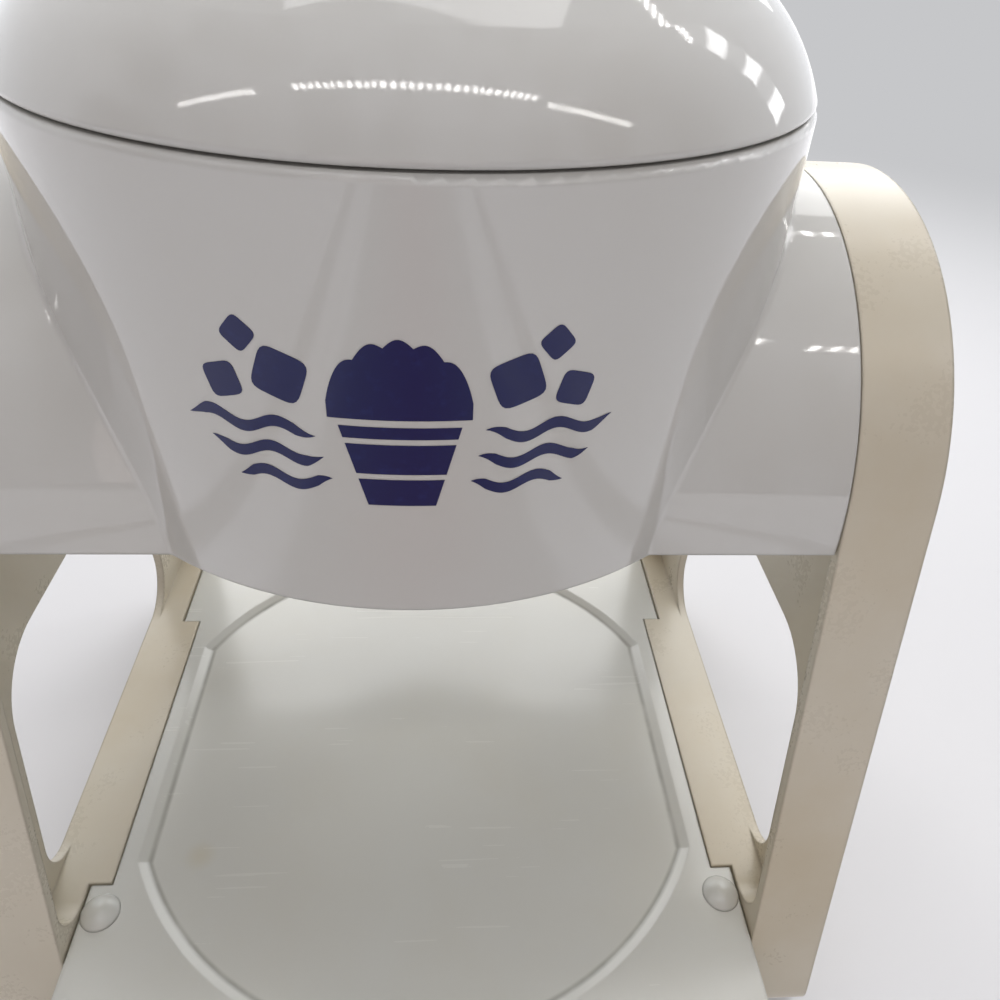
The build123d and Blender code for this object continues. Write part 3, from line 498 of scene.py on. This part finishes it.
def makePlastic(name, look):
    mat, tree, shade, vector = startMaterial(name)
    tint = useGroup(tree, agedTint, vector, Scale=look["cloud"], Amount=look["aged"],
                    Base=look["colour"], Aged=look["agedColour"])
    specks = useGroup(tree, straySpecks, vector, Scale=look["speckScale"], Size=look["speckSize"],
                      Share=look["speckShare"])
    scratches = useGroup(tree, hairScratches, vector, Scale=look["scratchScale"], Amount=look["scratches"])
    grain = useGroup(tree, mouldGrain, vector, Wave=look["wave"], Peel=look["peel"], Peel_Share=look["peelShare"])
    speckFactor = mathNode(tree, "MULTIPLY", specks.outputs["Mask"], look["speckStrength"])
    specksAndShade = mixColour(tree, speckFactor, tint.outputs["Color"], look["speckColour"])
    # on the tray: painted shade along the recess's step, and a real stain
    if "groove" in look:
        specksAndShade = recessShadeAndStain(tree, vector, specksAndShade)
    tree.links.new(specksAndShade, shade.inputs["Base Color"])
    rough = spreadRough(tree, grain.outputs["Rough Mask"], look)
    roughMarked = mathNode(tree, "MULTIPLY_ADD", scratches.outputs["Mask"], scratchRough, rough, clamp=True)
    tree.links.new(roughMarked, shade.inputs["Roughness"])
    height = mathNode(tree, "MULTIPLY_ADD", scratches.outputs["Mask"], -scratchDepth, grain.outputs["Height"])
    addBump(tree, shade, height, look["bump"], look["bumpDepth"], look["edge"])
    shade.inputs["IOR"].default_value = look["ior"]
    return mat


whiteLook = {
    "colour": (0.64, 0.64, 0.62, 1), "agedColour": (0.62, 0.605, 0.565, 1), "cloud": 14.0, "aged": 0.45,
    "speckScale": 70.0, "speckSize": 0.06, "speckShare": 0.035, "speckStrength": 0.5,
    "speckColour": (0.46, 0.40, 0.30, 1), "scratchScale": 30.0, "scratches": 0.2,
    "wave": 45.0, "peel": 1400.0, "peelShare": 0.03, "roughLow": 0.02, "roughHigh": 0.05,
    "bump": 0.3, "bumpDepth": 0.00012, "ior": 1.5, "edge": 0.0007,
}
creamLook = {
    "colour": (0.65, 0.60, 0.495, 1), "agedColour": (0.56, 0.465, 0.31, 1), "cloud": 11.0, "aged": 0.6,
    "speckScale": 60.0, "speckSize": 0.07, "speckShare": 0.05, "speckStrength": 0.5,
    "speckColour": (0.38, 0.31, 0.22, 1), "scratchScale": 34.0, "scratches": 0.04,
    "wave": 60.0, "peel": 1100.0, "peelShare": 0.08, "roughLow": 0.26, "roughHigh": 0.36,
    "bump": 0.3, "bumpDepth": 0.0001, "ior": 1.48, "edge": 0.0009,
}
trayLook = {
    "colour": (0.665, 0.67, 0.635, 1), "agedColour": (0.64, 0.625, 0.56, 1), "cloud": 13.0, "aged": 0.5,
    "speckScale": 75.0, "speckSize": 0.08, "speckShare": 0.10, "speckStrength": 0.65,
    "speckColour": (0.27, 0.23, 0.16, 1), "scratchScale": 26.0, "scratches": 0.6,
    "wave": 38.0, "peel": 1200.0, "peelShare": 0.05, "roughLow": 0.17, "roughHigh": 0.24,
    "bump": 0.3, "bumpDepth": 0.0001, "ior": 1.52, "edge": 0.0009, "groove": True,
}
bearingLook = dict(
    whiteLook, colour=(0.62, 0.62, 0.60, 1), agedColour=(0.56, 0.55, 0.50, 1), aged=0.4,
    roughLow=0.38, roughHigh=0.5, scratches=0.8, bump=0.5, edge=0.0005)
whitePlastic = makePlastic("glossyWhitePlastic", whiteLook)
creamPlastic = makePlastic("agedCreamPlastic", creamLook)
trayPlastic = makePlastic("cloudyTrayPlastic", trayLook)
bearingPlastic = makePlastic("bearingPlastic", bearingLook)


def makeSteel(name, look):
    mat, tree, shade, vector = startMaterial(name)
    lines = useGroup(tree, groundLines, vector, Stretch=look["stretch"], Scale=look["scale"]).outputs["Lines"]
    dark = rangeNode(tree, noiseNode(tree, vector, *look["stainNoise"]), *look["stainEdge"])
    tree.links.new(mixColour(tree, dark, look["colour"], look["stained"]), shade.inputs["Base Color"])
    tree.links.new(spreadRough(tree, lines, look), shade.inputs["Roughness"])
    shade.inputs["Metallic"].default_value = 1.0
    addBump(tree, shade, lines, look["bump"], look["bumpDepth"], look["edge"])
    return mat


bladeLook = {
    "colour": (0.62, 0.63, 0.64, 1), "stained": (0.50, 0.50, 0.49, 1), "stretch": (60.0, 2.0, 60.0), "scale": 40.0,
    "stainNoise": (120.0, 3.0, 0.6), "stainEdge": (0.35, 0.7), "roughLow": 0.2, "roughHigh": 0.42,
    "bump": 0.5, "bumpDepth": 0.00004, "edge": 0.0003,
}
screwLook = dict(
    bladeLook, colour=(0.60, 0.60, 0.59, 1), stained=(0.44, 0.42, 0.38, 1), stretch=(20.0, 20.0, 20.0), scale=60.0,
    roughLow=0.22, roughHigh=0.45, bump=0.3)
bladeSteel = makeSteel("groundBladeSteel", bladeLook)
screwSteel = makeSteel("brightPlatedSteel", screwLook)


def makeCoat(name, look):
    # rubber or ink: a clouded dark colour on a grained skin
    mat, tree, shade, vector = startMaterial(name)
    grain = useGroup(tree, mouldGrain, vector, Wave=look["wave"], Peel=look["peel"], Peel_Share=look["peelShare"])
    cloud = rangeNode(tree, noiseNode(tree, vector, *look["cloudNoise"]), *look["cloudEdge"])
    tree.links.new(mixColour(tree, cloud, look["colour"], look["clouded"]), shade.inputs["Base Color"])
    tree.links.new(spreadRough(tree, grain.outputs["Rough Mask"], look), shade.inputs["Roughness"])
    addBump(tree, shade, grain.outputs["Height"], look["bump"], look["bumpDepth"])
    shade.inputs["Specular IOR Level"].default_value = look["specular"]
    return mat


rubberLook = {
    "colour": (0.032, 0.032, 0.034, 1), "clouded": (0.075, 0.07, 0.062, 1),
    "cloudNoise": (90.0, 3.0, 0.5), "cloudEdge": (0.45, 0.75), "wave": 300.0, "peel": 2600.0, "peelShare": 0.5,
    "roughLow": 0.6, "roughHigh": 0.8, "bump": 0.5, "bumpDepth": 0.00015, "specular": 0.5,
}
inkLook = {
    "colour": (0.006, 0.009, 0.085, 1), "clouded": (0.010, 0.017, 0.12, 1),
    "cloudNoise": (500.0, 2.0, 0.6), "cloudEdge": (0.5, 0.9), "wave": 400.0, "peel": 3200.0, "peelShare": 0.6,
    "roughLow": 0.16, "roughHigh": 0.24, "bump": 0.15, "bumpDepth": 0.00002, "specular": 0.28,
}
footRubber = makeCoat("footRubber", rubberLook)
blueInk = makeCoat("blueScreenInk", inkLook)
print("materials built")

finishes = {
    "white_shell": whitePlastic, "cream_frame": creamPlastic, "grey_tray": trayPlastic,
    "bush_plastic": bearingPlastic, "foot_rubber": footRubber, "blade_steel": bladeSteel,
    "screw_steel": screwSteel,
}
slotOf = {part["node"]: part["material_slot"] for part in frame["record"]["subparts"]}
for nodeName, nodeObject in frame["nodes"].items():
    nodeObject.data.materials.clear()
    nodeObject.data.materials.append(finishes[slotOf[nodeName]])
print("CAD nodes dressed")


# Geometry Nodes: parts that repeat or follow a rule
def put(tree, kind, settings=None, **values):
    # a node with its settings, its inputs set or linked by name
    node = tree.nodes.new(kind)
    for label, value in (settings or {}).items():
        setattr(node, label, value)
    for label, value in values.items():
        feed(tree, node.inputs[label.replace("_", " ")], value)
    return node


def newTree(name, floats, ints=()):
    tree = bpy.data.node_groups.new(name, "GeometryNodeTree")
    kinds = [("Geometry", "Geometry"), ("Finish", "Material")]
    for label, kind in kinds + [(label, "Float") for label in floats] + [(label, "Int") for label in ints]:
        tree.interface.new_socket(label, in_out="INPUT", socket_type="NodeSocket" + kind)
    tree.interface.new_socket("Geometry", in_out="OUTPUT", socket_type="NodeSocketGeometry")
    return tree, tree.nodes.new("NodeGroupInput").outputs, tree.nodes.new("NodeGroupOutput").inputs[0]


def shareCurve(tree, factor, values):
    # a float curve through evenly spaced values from 0 to 1
    node = put(tree, "ShaderNodeFloatCurve", Value=factor)
    curve = node.mapping.curves[0]
    last = len(values) - 1
    curve.points[0].location = (0.0, values[0])
    curve.points[1].location = (1.0, values[last])
    for index in range(1, last):
        curve.points.new(index / last, values[index])
    for point in curve.points:
        point.handle_type = "VECTOR"
    node.mapping.update()
    return node.outputs[0]


weld = 2e-6       # joins the points at a turned shape's poles


def turned(tree, profile, radius, height, sides):
    # a turned shape: (share of radius, share of height) at 8 or 16 even steps, pole to pole
    tube = put(tree, "GeometryNodeMeshCylinder", {"fill_type": "NGON"},
               Vertices=sides, Side_Segments=len(profile) - 1, Radius=1.0, Depth=1.0)
    start = axesOf(tree, put(tree, "GeometryNodeInputPosition").outputs[0])
    step = mathNode(tree, "ADD", start["Z"], 0.5)
    reach = mathNode(tree, "MULTIPLY", shareCurve(tree, step, [r for r, h in profile]), radius)
    tall = mathNode(tree, "MULTIPLY", shareCurve(tree, step, [h for r, h in profile]), height)
    spot = put(tree, "ShaderNodeCombineXYZ", X=mathNode(tree, "MULTIPLY", start["X"], reach),
               Y=mathNode(tree, "MULTIPLY", start["Y"], reach), Z=tall)
    moved = put(tree, "GeometryNodeSetPosition", Geometry=tube.outputs["Mesh"], Position=spot.outputs[0])
    return put(tree, "GeometryNodeMergeByDistance", Geometry=moved.outputs[0], Distance=weld).outputs[0]


def endTree(tree, geometry, material, out, sharp=0.6):
    # instances made real, faces smooth except over sharp edges, and the finish
    real = put(tree, "GeometryNodeRealizeInstances", Geometry=geometry)
    smooth = put(tree, "GeometryNodeSetShadeSmooth", Geometry=real.outputs[0], Shade_Smooth=True)
    bend = put(tree, "GeometryNodeInputMeshEdgeAngle").outputs["Unsigned Angle"]
    edges = put(tree, "GeometryNodeSetShadeSmooth", {"domain": "EDGE"}, Geometry=smooth.outputs[0],
                Selection=mathNode(tree, "GREATER_THAN", bend, sharp), Shade_Smooth=False)
    dressed = put(tree, "GeometryNodeSetMaterial", Geometry=edges.outputs[0], Material=material)
    tree.links.new(dressed.outputs[0], out)


def settle(name, start, tree, values, body, nodes=()):
    # runs a tree once and keeps the result as a plain mesh
    holder = bpy.data.objects.new(name + "Start", start)
    scene.collection.objects.link(holder)
    modifier = holder.modifiers.new("build", "NODES")
    modifier.node_group = tree
    keys = {item.name: item.identifier for item in tree.interface.items_tree
            if item.item_type == "SOCKET" and item.in_out == "INPUT"}
    for label, value in values.items():
        modifier[keys[label]] = value
    graph = bpy.context.evaluated_depsgraph_get()
    plain = bpy.data.meshes.new_from_object(holder.evaluated_get(graph), depsgraph=graph)
    bpy.data.objects.remove(holder)
    plain.name = name
    piece = bpy.data.objects.new(name, plain)
    scene.collection.objects.link(piece)
    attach(piece, body)
    if nodes:
        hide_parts(*nodes)
    print(name, len(plain.polygons), "faces")
    return piece


def seatMesh(name, seats):
    # one point for each seat, with the way its screw's head looks
    mesh = bpy.data.meshes.new(name)
    mesh.from_pydata([spot for spot, aim in seats], [], [])
    aims = mesh.attributes.new("aim", "FLOAT_VECTOR", "POINT")
    for index, (spot, aim) in enumerate(seats):
        aims.data[index].vector = aim
    return mesh


screwShape = {
    "head": [(0.0, 0.0), (0.97, 0.0), (1.0, 0.10), (1.0, 0.42), (0.97, 0.60), (0.86, 0.79), (0.66, 0.92),
             (0.36, 0.985), (0.0, 1.0)],
    "shank": [(0.0, 0.0), (0.55, 0.0), (0.92, 0.06), (1.0, 0.10), (1.0, 0.3), (1.0, 0.5), (1.0, 0.7), (1.0, 1.0),
              (0.0, 1.0)],
    "headSides": 40, "shankSides": 24,
    "sunk": 0.3,      # share of the head's height that the shank reaches into it
    "sharp": 0.5,     # radians; edges that bend more stay sharp
}


def makeScrewTree():
    tree, gin, out = newTree("domedScrews", ["Head Radius", "Head Height", "Shank Radius", "Length"], ["Seed"])
    head = turned(tree, screwShape["head"], gin["Head Radius"], gin["Head Height"], screwShape["headSides"])
    sunk = mathNode(tree, "MULTIPLY", gin["Head Height"], screwShape["sunk"])
    shank = turned(tree, screwShape["shank"], gin["Shank Radius"], mathNode(tree, "ADD", gin["Length"], sunk),
                   screwShape["shankSides"])
    drop = put(tree, "ShaderNodeCombineXYZ", Z=mathNode(tree, "MULTIPLY", gin["Length"], -1.0))
    placed = put(tree, "GeometryNodeTransform", Geometry=shank, Translation=drop.outputs[0])
    whole = put(tree, "GeometryNodeMeshBoolean", {"operation": "UNION", "solver": "EXACT"})
    tree.links.new(head, whole.inputs["Mesh 2"])
    tree.links.new(placed.outputs[0], whole.inputs["Mesh 2"])
    aim = put(tree, "GeometryNodeInputNamedAttribute", {"data_type": "FLOAT_VECTOR"}, Name="aim")
    face = put(tree, "FunctionNodeAlignRotationToVector", {"axis": "Z"}, Vector=aim.outputs[0])
    chance = put(tree, "FunctionNodeRandomValue", {"data_type": "FLOAT"}, Seed=gin["Seed"])
    chance.inputs[3].default_value = 2 * pi
    spin = put(tree, "FunctionNodeAxisAngleToRotation", Axis=(0.0, 0.0, 1.0), Angle=chance.outputs[1])
    turnedBy = put(tree, "FunctionNodeRotateRotation", {"rotation_space": "LOCAL"}, Rotation=face.outputs[0],
                   Rotate_By=spin.outputs[0])
    many = put(tree, "GeometryNodeInstanceOnPoints", Points=gin["Geometry"], Instance=whole.outputs[0],
               Rotation=turnedBy.outputs[0])
    endTree(tree, many.outputs[0], gin["Finish"], out, screwShape["sharp"])
    return tree


# where the screws sit, in mm and degrees
seatFacts = {
    "face": 91.2,            # outer faces of the frames under the heads, to each side
    "ring": (53, 124),       # screws round each arm: reach, height of the middle
    "ringAngles": (22, 90, 158),
    "railHeight": 14,
    "railPlaces": (-44.9, 55.1),
}
bladeScrews = {"tilt": 18, "height": 143.4, "back": 15, "under": 3.2, "across": (18, 42)}


def sideSeats(places):
    # (y, z) in metres, on both frames
    return [((side * seatFacts["face"] * mm, y, z), (side, 0, 0)) for side in (-1, 1) for y, z in places]


def ringSeats(radius, z, angles, way):
    # round the body's axis, with the heads up or down
    return [((radius * cos(radians(a)) * mm, bodyY + radius * sin(radians(a)) * mm, z * mm), (0, 0, way))
            for a in angles]


def armPlaces():
    # (y, z) of the screws round an arm
    reach, middle = seatFacts["ring"]
    return [(bodyY + reach * mm * cos(radians(a)), (middle + reach * sin(radians(a))) * mm)
            for a in seatFacts["ringAngles"]]


def bladeSeats():
    # on the slanted clamp, with the heads down and a little to the rear
    tilt = radians(bladeScrews["tilt"])
    up = Vector((0, -sin(tilt), cos(tilt)))
    back = Vector((0, -cos(tilt), -sin(tilt)))
    root = Vector((0, bodyY, bladeScrews["height"] * mm))
    return [(tuple(root + Vector((x * mm, 0, 0)) + back * bladeScrews["back"] * mm - up * bladeScrews["under"] * mm),
             tuple(-up)) for x in bladeScrews["across"]]


# name: CAD node it replaces, body, (head radius and height, shank radius, length) in mm, seats
screwSets = {
    "head_screw_set": ("head_screws", "root", (3.9, 2.2, 1.95, 25.6), sideSeats(armPlaces())),
    "rail_screw_set": ("rail_screws", "root", (3.4, 2.2, 1.7, 22.8), sideSeats(
        [(y * mm, seatFacts["railHeight"] * mm) for y in seatFacts["railPlaces"]])),
    "chamber_screw_set": ("chamber_screws", "root", (3.0, 2.2, 1.5, 6.5), ringSeats(
        radius=64, z=198, angles=(30, 150, 270), way=1)),
    "blade_screw_set": ("blade_screws", "root", (3.2, 2.2, 1.6, 5.8), bladeSeats()),
    "lid_screw_set": ("lid_screws", "lid", (3.0, 2.2, 1.6, 10.2), ringSeats(
        radius=50, z=202.2, angles=(90, 210, 330), way=-1)),
}
firstSeed = 3
screwTree = makeScrewTree()
for index, (setName, (plainNode, body, size, seats)) in enumerate(screwSets.items()):
    headRadius, headHeight, shankRadius, length = (value * mm for value in size)
    settle(setName, seatMesh(setName + "Seats", seats), screwTree, {
        "Head Radius": headRadius, "Head Height": headHeight, "Shank Radius": shankRadius, "Length": length,
        "Seed": index + firstSeed, "Finish": screwSteel}, body, [plainNode])


# rubber feet: grooved pads on stems
foot = {
    "spreadX": 124 * mm, "spreadY": 148 * mm, "radius": 9.5 * mm, "height": 9.0 * mm, "sides": 64,
    "profile": [(0.0, 0.06), (0.42, 0.06), (0.52, 0.0), (0.86, 0.0), (0.96, 0.03), (1.0, 0.09), (1.0, 0.17),
                (0.95, 0.19), (0.95, 0.22), (1.0, 0.24), (1.0, 0.33), (0.97, 0.375), (0.90, 0.3889),
                (0.421, 0.3889), (0.421, 0.95), (0.38, 1.0), (0.0, 1.0)],
}


def makeFootTree():
    tree, gin, out = newTree("groovedFeet", ["Spread X", "Spread Y", "Centre Y", "Radius", "Height"])
    one = turned(tree, foot["profile"], gin["Radius"], gin["Height"], foot["sides"])
    grid = put(tree, "GeometryNodeMeshGrid", Size_X=gin["Spread X"], Size_Y=gin["Spread Y"],
               Vertices_X=2, Vertices_Y=2)
    place = put(tree, "ShaderNodeCombineXYZ", Y=gin["Centre Y"])
    placed = put(tree, "GeometryNodeTransform", Geometry=grid.outputs["Mesh"], Translation=place.outputs[0])
    many = put(tree, "GeometryNodeInstanceOnPoints", Points=placed.outputs[0], Instance=one)
    endTree(tree, many.outputs[0], gin["Finish"], out)
    return tree


settle("grooved_feet", bpy.data.meshes.new("footStart"), makeFootTree(), {
    "Spread X": foot["spreadX"], "Spread Y": foot["spreadY"], "Centre Y": trayY, "Radius": foot["radius"],
    "Height": foot["height"], "Finish": footRubber}, "root", ["rubber_feet"])


# press spring: round wire with closed end turns
coil = {
    "radius": 12.4 * mm, "wire": 0.8 * mm, "turns": 9.0, "low": 154.4 * mm, "high": 218.5 * mm,
    "rise": [0.0, 0.026, 0.135, 0.258, 0.379, 0.5, 0.621, 0.742, 0.865, 0.974, 1.0],
    "stepsPerTurn": 40, "wireSides": 12, "sharp": 1.0,
    "fixedEnd": 219.6 * mm, "travel": 34 * mm,
}


def makeCoilTree():
    tree, gin, out = newTree("pressCoil", ["Radius", "Wire", "Turns", "Low", "Height", "Centre Y"])
    spiral = put(tree, "GeometryNodeCurveSpiral", Resolution=coil["stepsPerTurn"], Rotations=gin["Turns"],
                 Start_Radius=gin["Radius"], End_Radius=gin["Radius"], Height=gin["Height"])
    start = axesOf(tree, put(tree, "GeometryNodeInputPosition").outputs[0])
    share = mathNode(tree, "DIVIDE", start["Z"], gin["Height"])
    rise = mathNode(tree, "MULTIPLY_ADD", shareCurve(tree, share, coil["rise"]), gin["Height"], gin["Low"])
    spot = put(tree, "ShaderNodeCombineXYZ", X=start["X"], Y=mathNode(tree, "ADD", start["Y"], gin["Centre Y"]),
               Z=rise)
    moved = put(tree, "GeometryNodeSetPosition", Geometry=spiral.outputs[0], Position=spot.outputs[0])
    ring = put(tree, "GeometryNodeCurvePrimitiveCircle", {"mode": "RADIUS"}, Resolution=coil["wireSides"],
               Radius=gin["Wire"])
    wire = put(tree, "GeometryNodeCurveToMesh", Curve=moved.outputs[0], Profile_Curve=ring.outputs[0],
               Fill_Caps=True)
    endTree(tree, wire.outputs[0], gin["Finish"], out, coil["sharp"])
    return tree


spring = settle("press_coil", bpy.data.meshes.new("coilStart"), makeCoilTree(), {
    "Radius": coil["radius"], "Wire": coil["wire"], "Turns": coil["turns"], "Low": coil["low"],
    "Height": coil["high"] - coil["low"], "Centre Y": bodyY, "Finish": screwSteel}, "crank",
    ["press_spring"])
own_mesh(spring)


# grip ribs round the nut on top of the crank
ribs = {
    "count": 36, "ring": 11.95 * mm, "low": 262.1 * mm, "high": 265.6 * mm, "radius": 0.42 * mm, "sides": 8,
    "profile": [(0.0, 0.0), (0.55, 0.02), (0.85, 0.06), (1.0, 0.12), (1.0, 0.5), (1.0, 0.88), (0.85, 0.94),
                (0.55, 0.98), (0.0, 1.0)],
}


def makeRibTree():
    tree, gin, out = newTree("gripRibs", ["Ring", "Low", "Length", "Radius", "Centre Y"], ["Count"])
    one = turned(tree, ribs["profile"], gin["Radius"], gin["Length"], ribs["sides"])
    circle = put(tree, "GeometryNodeMeshCircle", Vertices=gin["Count"], Radius=gin["Ring"])
    place = put(tree, "ShaderNodeCombineXYZ", Y=gin["Centre Y"], Z=gin["Low"])
    placed = put(tree, "GeometryNodeTransform", Geometry=circle.outputs["Mesh"], Translation=place.outputs[0])
    many = put(tree, "GeometryNodeInstanceOnPoints", Points=placed.outputs[0], Instance=one)
    endTree(tree, many.outputs[0], gin["Finish"], out)
    return tree


settle("nut_grip_ribs", bpy.data.meshes.new("ribStart"), makeRibTree(), {
    "Count": ribs["count"], "Ring": ribs["ring"], "Low": ribs["low"], "Length": ribs["high"] - ribs["low"],
    "Radius": ribs["radius"], "Centre Y": bodyY, "Finish": creamPlastic}, "crank")
print("screws, feet, spring and ribs made")


# print on the body's front; its motifs are in mm from its middle
badge = {
    "middle": -1.3 * mm,      # round the body, right of its front line
    "height": 37.5 * mm,      # above the body's lower edge
    "radiusLow": 75.0 * mm,
    "radiusHigh": 73.75 * mm,
    "lift": 0.03 * mm,
    "ink": 0.06 * mm,
    # cup: upper and lower end of each band, half width at the rim and at the foot
    "bands": ((-1.0, -3.0), (-4.0, -9.2), (-10.2, -15.0)),
    "rim": 9.0,
    "foot": 5.2,
    # mound of ice: half width, radius and height of its round, scallops and their height, lower edge
    "mound": {"half": 10.5, "round": 10.8, "tall": 11.5, "scallops": 5, "bulge": 1.1, "low": 0.2},
    # waves: height, inner end, outer end; then their common shape
    "waves": ((-2.5, 12.5, 33.0), (-7.0, 11.5, 29.5), (-11.5, 10.5, 25.5)),
    "swing": 0.9, "beat": 10.5, "weight": 1.9, "shift": 0.8, "taper": 2.2,
    # ice cubes: place, size, tilt; then how square they are
    "cubes": ((17.0, 6.0, 4.3, 0.35), (26.0, 3.8, 3.1, -0.3), (22.5, 11.5, 2.5, 0.7)),
    "cubeShare": 0.86, "cubePower": 5,
    "weld": 0.01 * mm,
}


def onBody(u, v):
    # (u, v) in mm from the badge's middle, laid on the body's slightly tapering wall
    z = badge["height"] + v * mm
    share = z / (bodyHigh.z - bodyLow.z)
    radius = badge["radiusLow"] + (badge["radiusHigh"] - badge["radiusLow"]) * share + badge["lift"]
    turn = (badge["middle"] + u * mm) / radius
    return Vector((radius * sin(turn), bodyY - radius * cos(turn), bodyLow.z + z))


def gridPatch(bm, place, columns, rows):
    # place(s, t) gives (u, v) for s and t from 0 to 1
    points = [[bm.verts.new(onBody(*place(i / columns, j / rows))) for j in range(rows + 1)]
              for i in range(columns + 1)]
    for i in range(columns):
        for j in range(rows):
            bm.faces.new((points[i][j], points[i + 1][j], points[i + 1][j + 1], points[i][j + 1]))


def roundPatch(bm, u0, v0, reach, sides=48, rings=6):
    # reach(angle) gives the outline's distance from (u0, v0)
    hub = bm.verts.new(onBody(u0, v0))
    last = None
    for ring in range(1, rings + 1):
        row = []
        for i in range(sides):
            angle = 2 * pi * i / sides
            far = reach(angle) * ring / rings
            row.append(bm.verts.new(onBody(u0 + far * cos(angle), v0 + far * sin(angle))))
        for i in range(sides):
            k = (i + 1) % sides
            if last is None:
                bm.faces.new((hub, row[i], row[k]))
            else:
                bm.faces.new((last[i], row[i], row[k], last[k]))
        last = row


def waveStripe(bm, u0, u1, v0, phase):
    def place(s, t):
        u = u0 + (u1 - u0) * s
        taper = min(1.0, sin(pi * s) * badge["taper"])
        centre = v0 + badge["swing"] * sin(2 * pi * u / badge["beat"] + phase)
        return u, centre + (t - 0.5) * badge["weight"] * taper
    gridPatch(bm, place, columns=90, rows=2)


def cupBand(bm, high, low):
    top, bottom = badge["bands"][0][0], badge["bands"][-1][1]

    def place(s, t):
        v = low + (high - low) * t
        half = badge["foot"] + (badge["rim"] - badge["foot"]) * (v - bottom) / (top - bottom)
        return (2 * s - 1) * half, v
    gridPatch(bm, place, columns=16, rows=4)


def iceMound(bm, mound):
    def place(s, t):
        u = (2 * s - 1) * mound["half"]
        dome = mound["tall"] * sqrt(max(0.0, 1 - (u / mound["round"]) ** 2))
        scallop = mound["bulge"] * abs(sin(pi * (s * mound["scallops"])))
        return u, mound["low"] + t * (dome + scallop)
    gridPatch(bm, place, columns=80, rows=8)


def iceCube(bm, u0, v0, size, tilt):
    power = badge["cubePower"]

    def reach(angle):
        c, s = abs(cos(angle - tilt)), abs(sin(angle - tilt))
        return size * badge["cubeShare"] / (c ** power + s ** power) ** (1 / power)
    roundPatch(bm, u0, v0, reach)


def makeBadge():
    bm = bmesh.new()
    for high, low in badge["bands"]:
        cupBand(bm, high, low)
    iceMound(bm, badge["mound"])
    for side in (-1, 1):
        for index, (v0, near, far) in enumerate(badge["waves"]):
            waveStripe(bm, side * near, side * far, v0, index * badge["shift"])
        for u0, v0, size, tilt in badge["cubes"]:
            iceCube(bm, side * u0, v0, size, side * tilt)
    bmesh.ops.remove_doubles(bm, verts=bm.verts, dist=badge["weld"])
    bmesh.ops.recalc_face_normals(bm, faces=bm.faces)
    mesh = bpy.data.meshes.new("front_print")
    bm.to_mesh(mesh)
    bm.free()
    outward = Vector((0, -1, 0))
    if sum(face.normal.dot(outward) for face in mesh.polygons) < 0:
        mesh.flip_normals()
    obj = bpy.data.objects.new("front_print", mesh)
    scene.collection.objects.link(obj)
    mesh.materials.append(blueInk)
    solid = obj.modifiers.new("ink", "SOLIDIFY")
    solid.thickness = badge["ink"]
    solid.offset = 0.0
    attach(obj, "root")


makeBadge()
print("front print made")
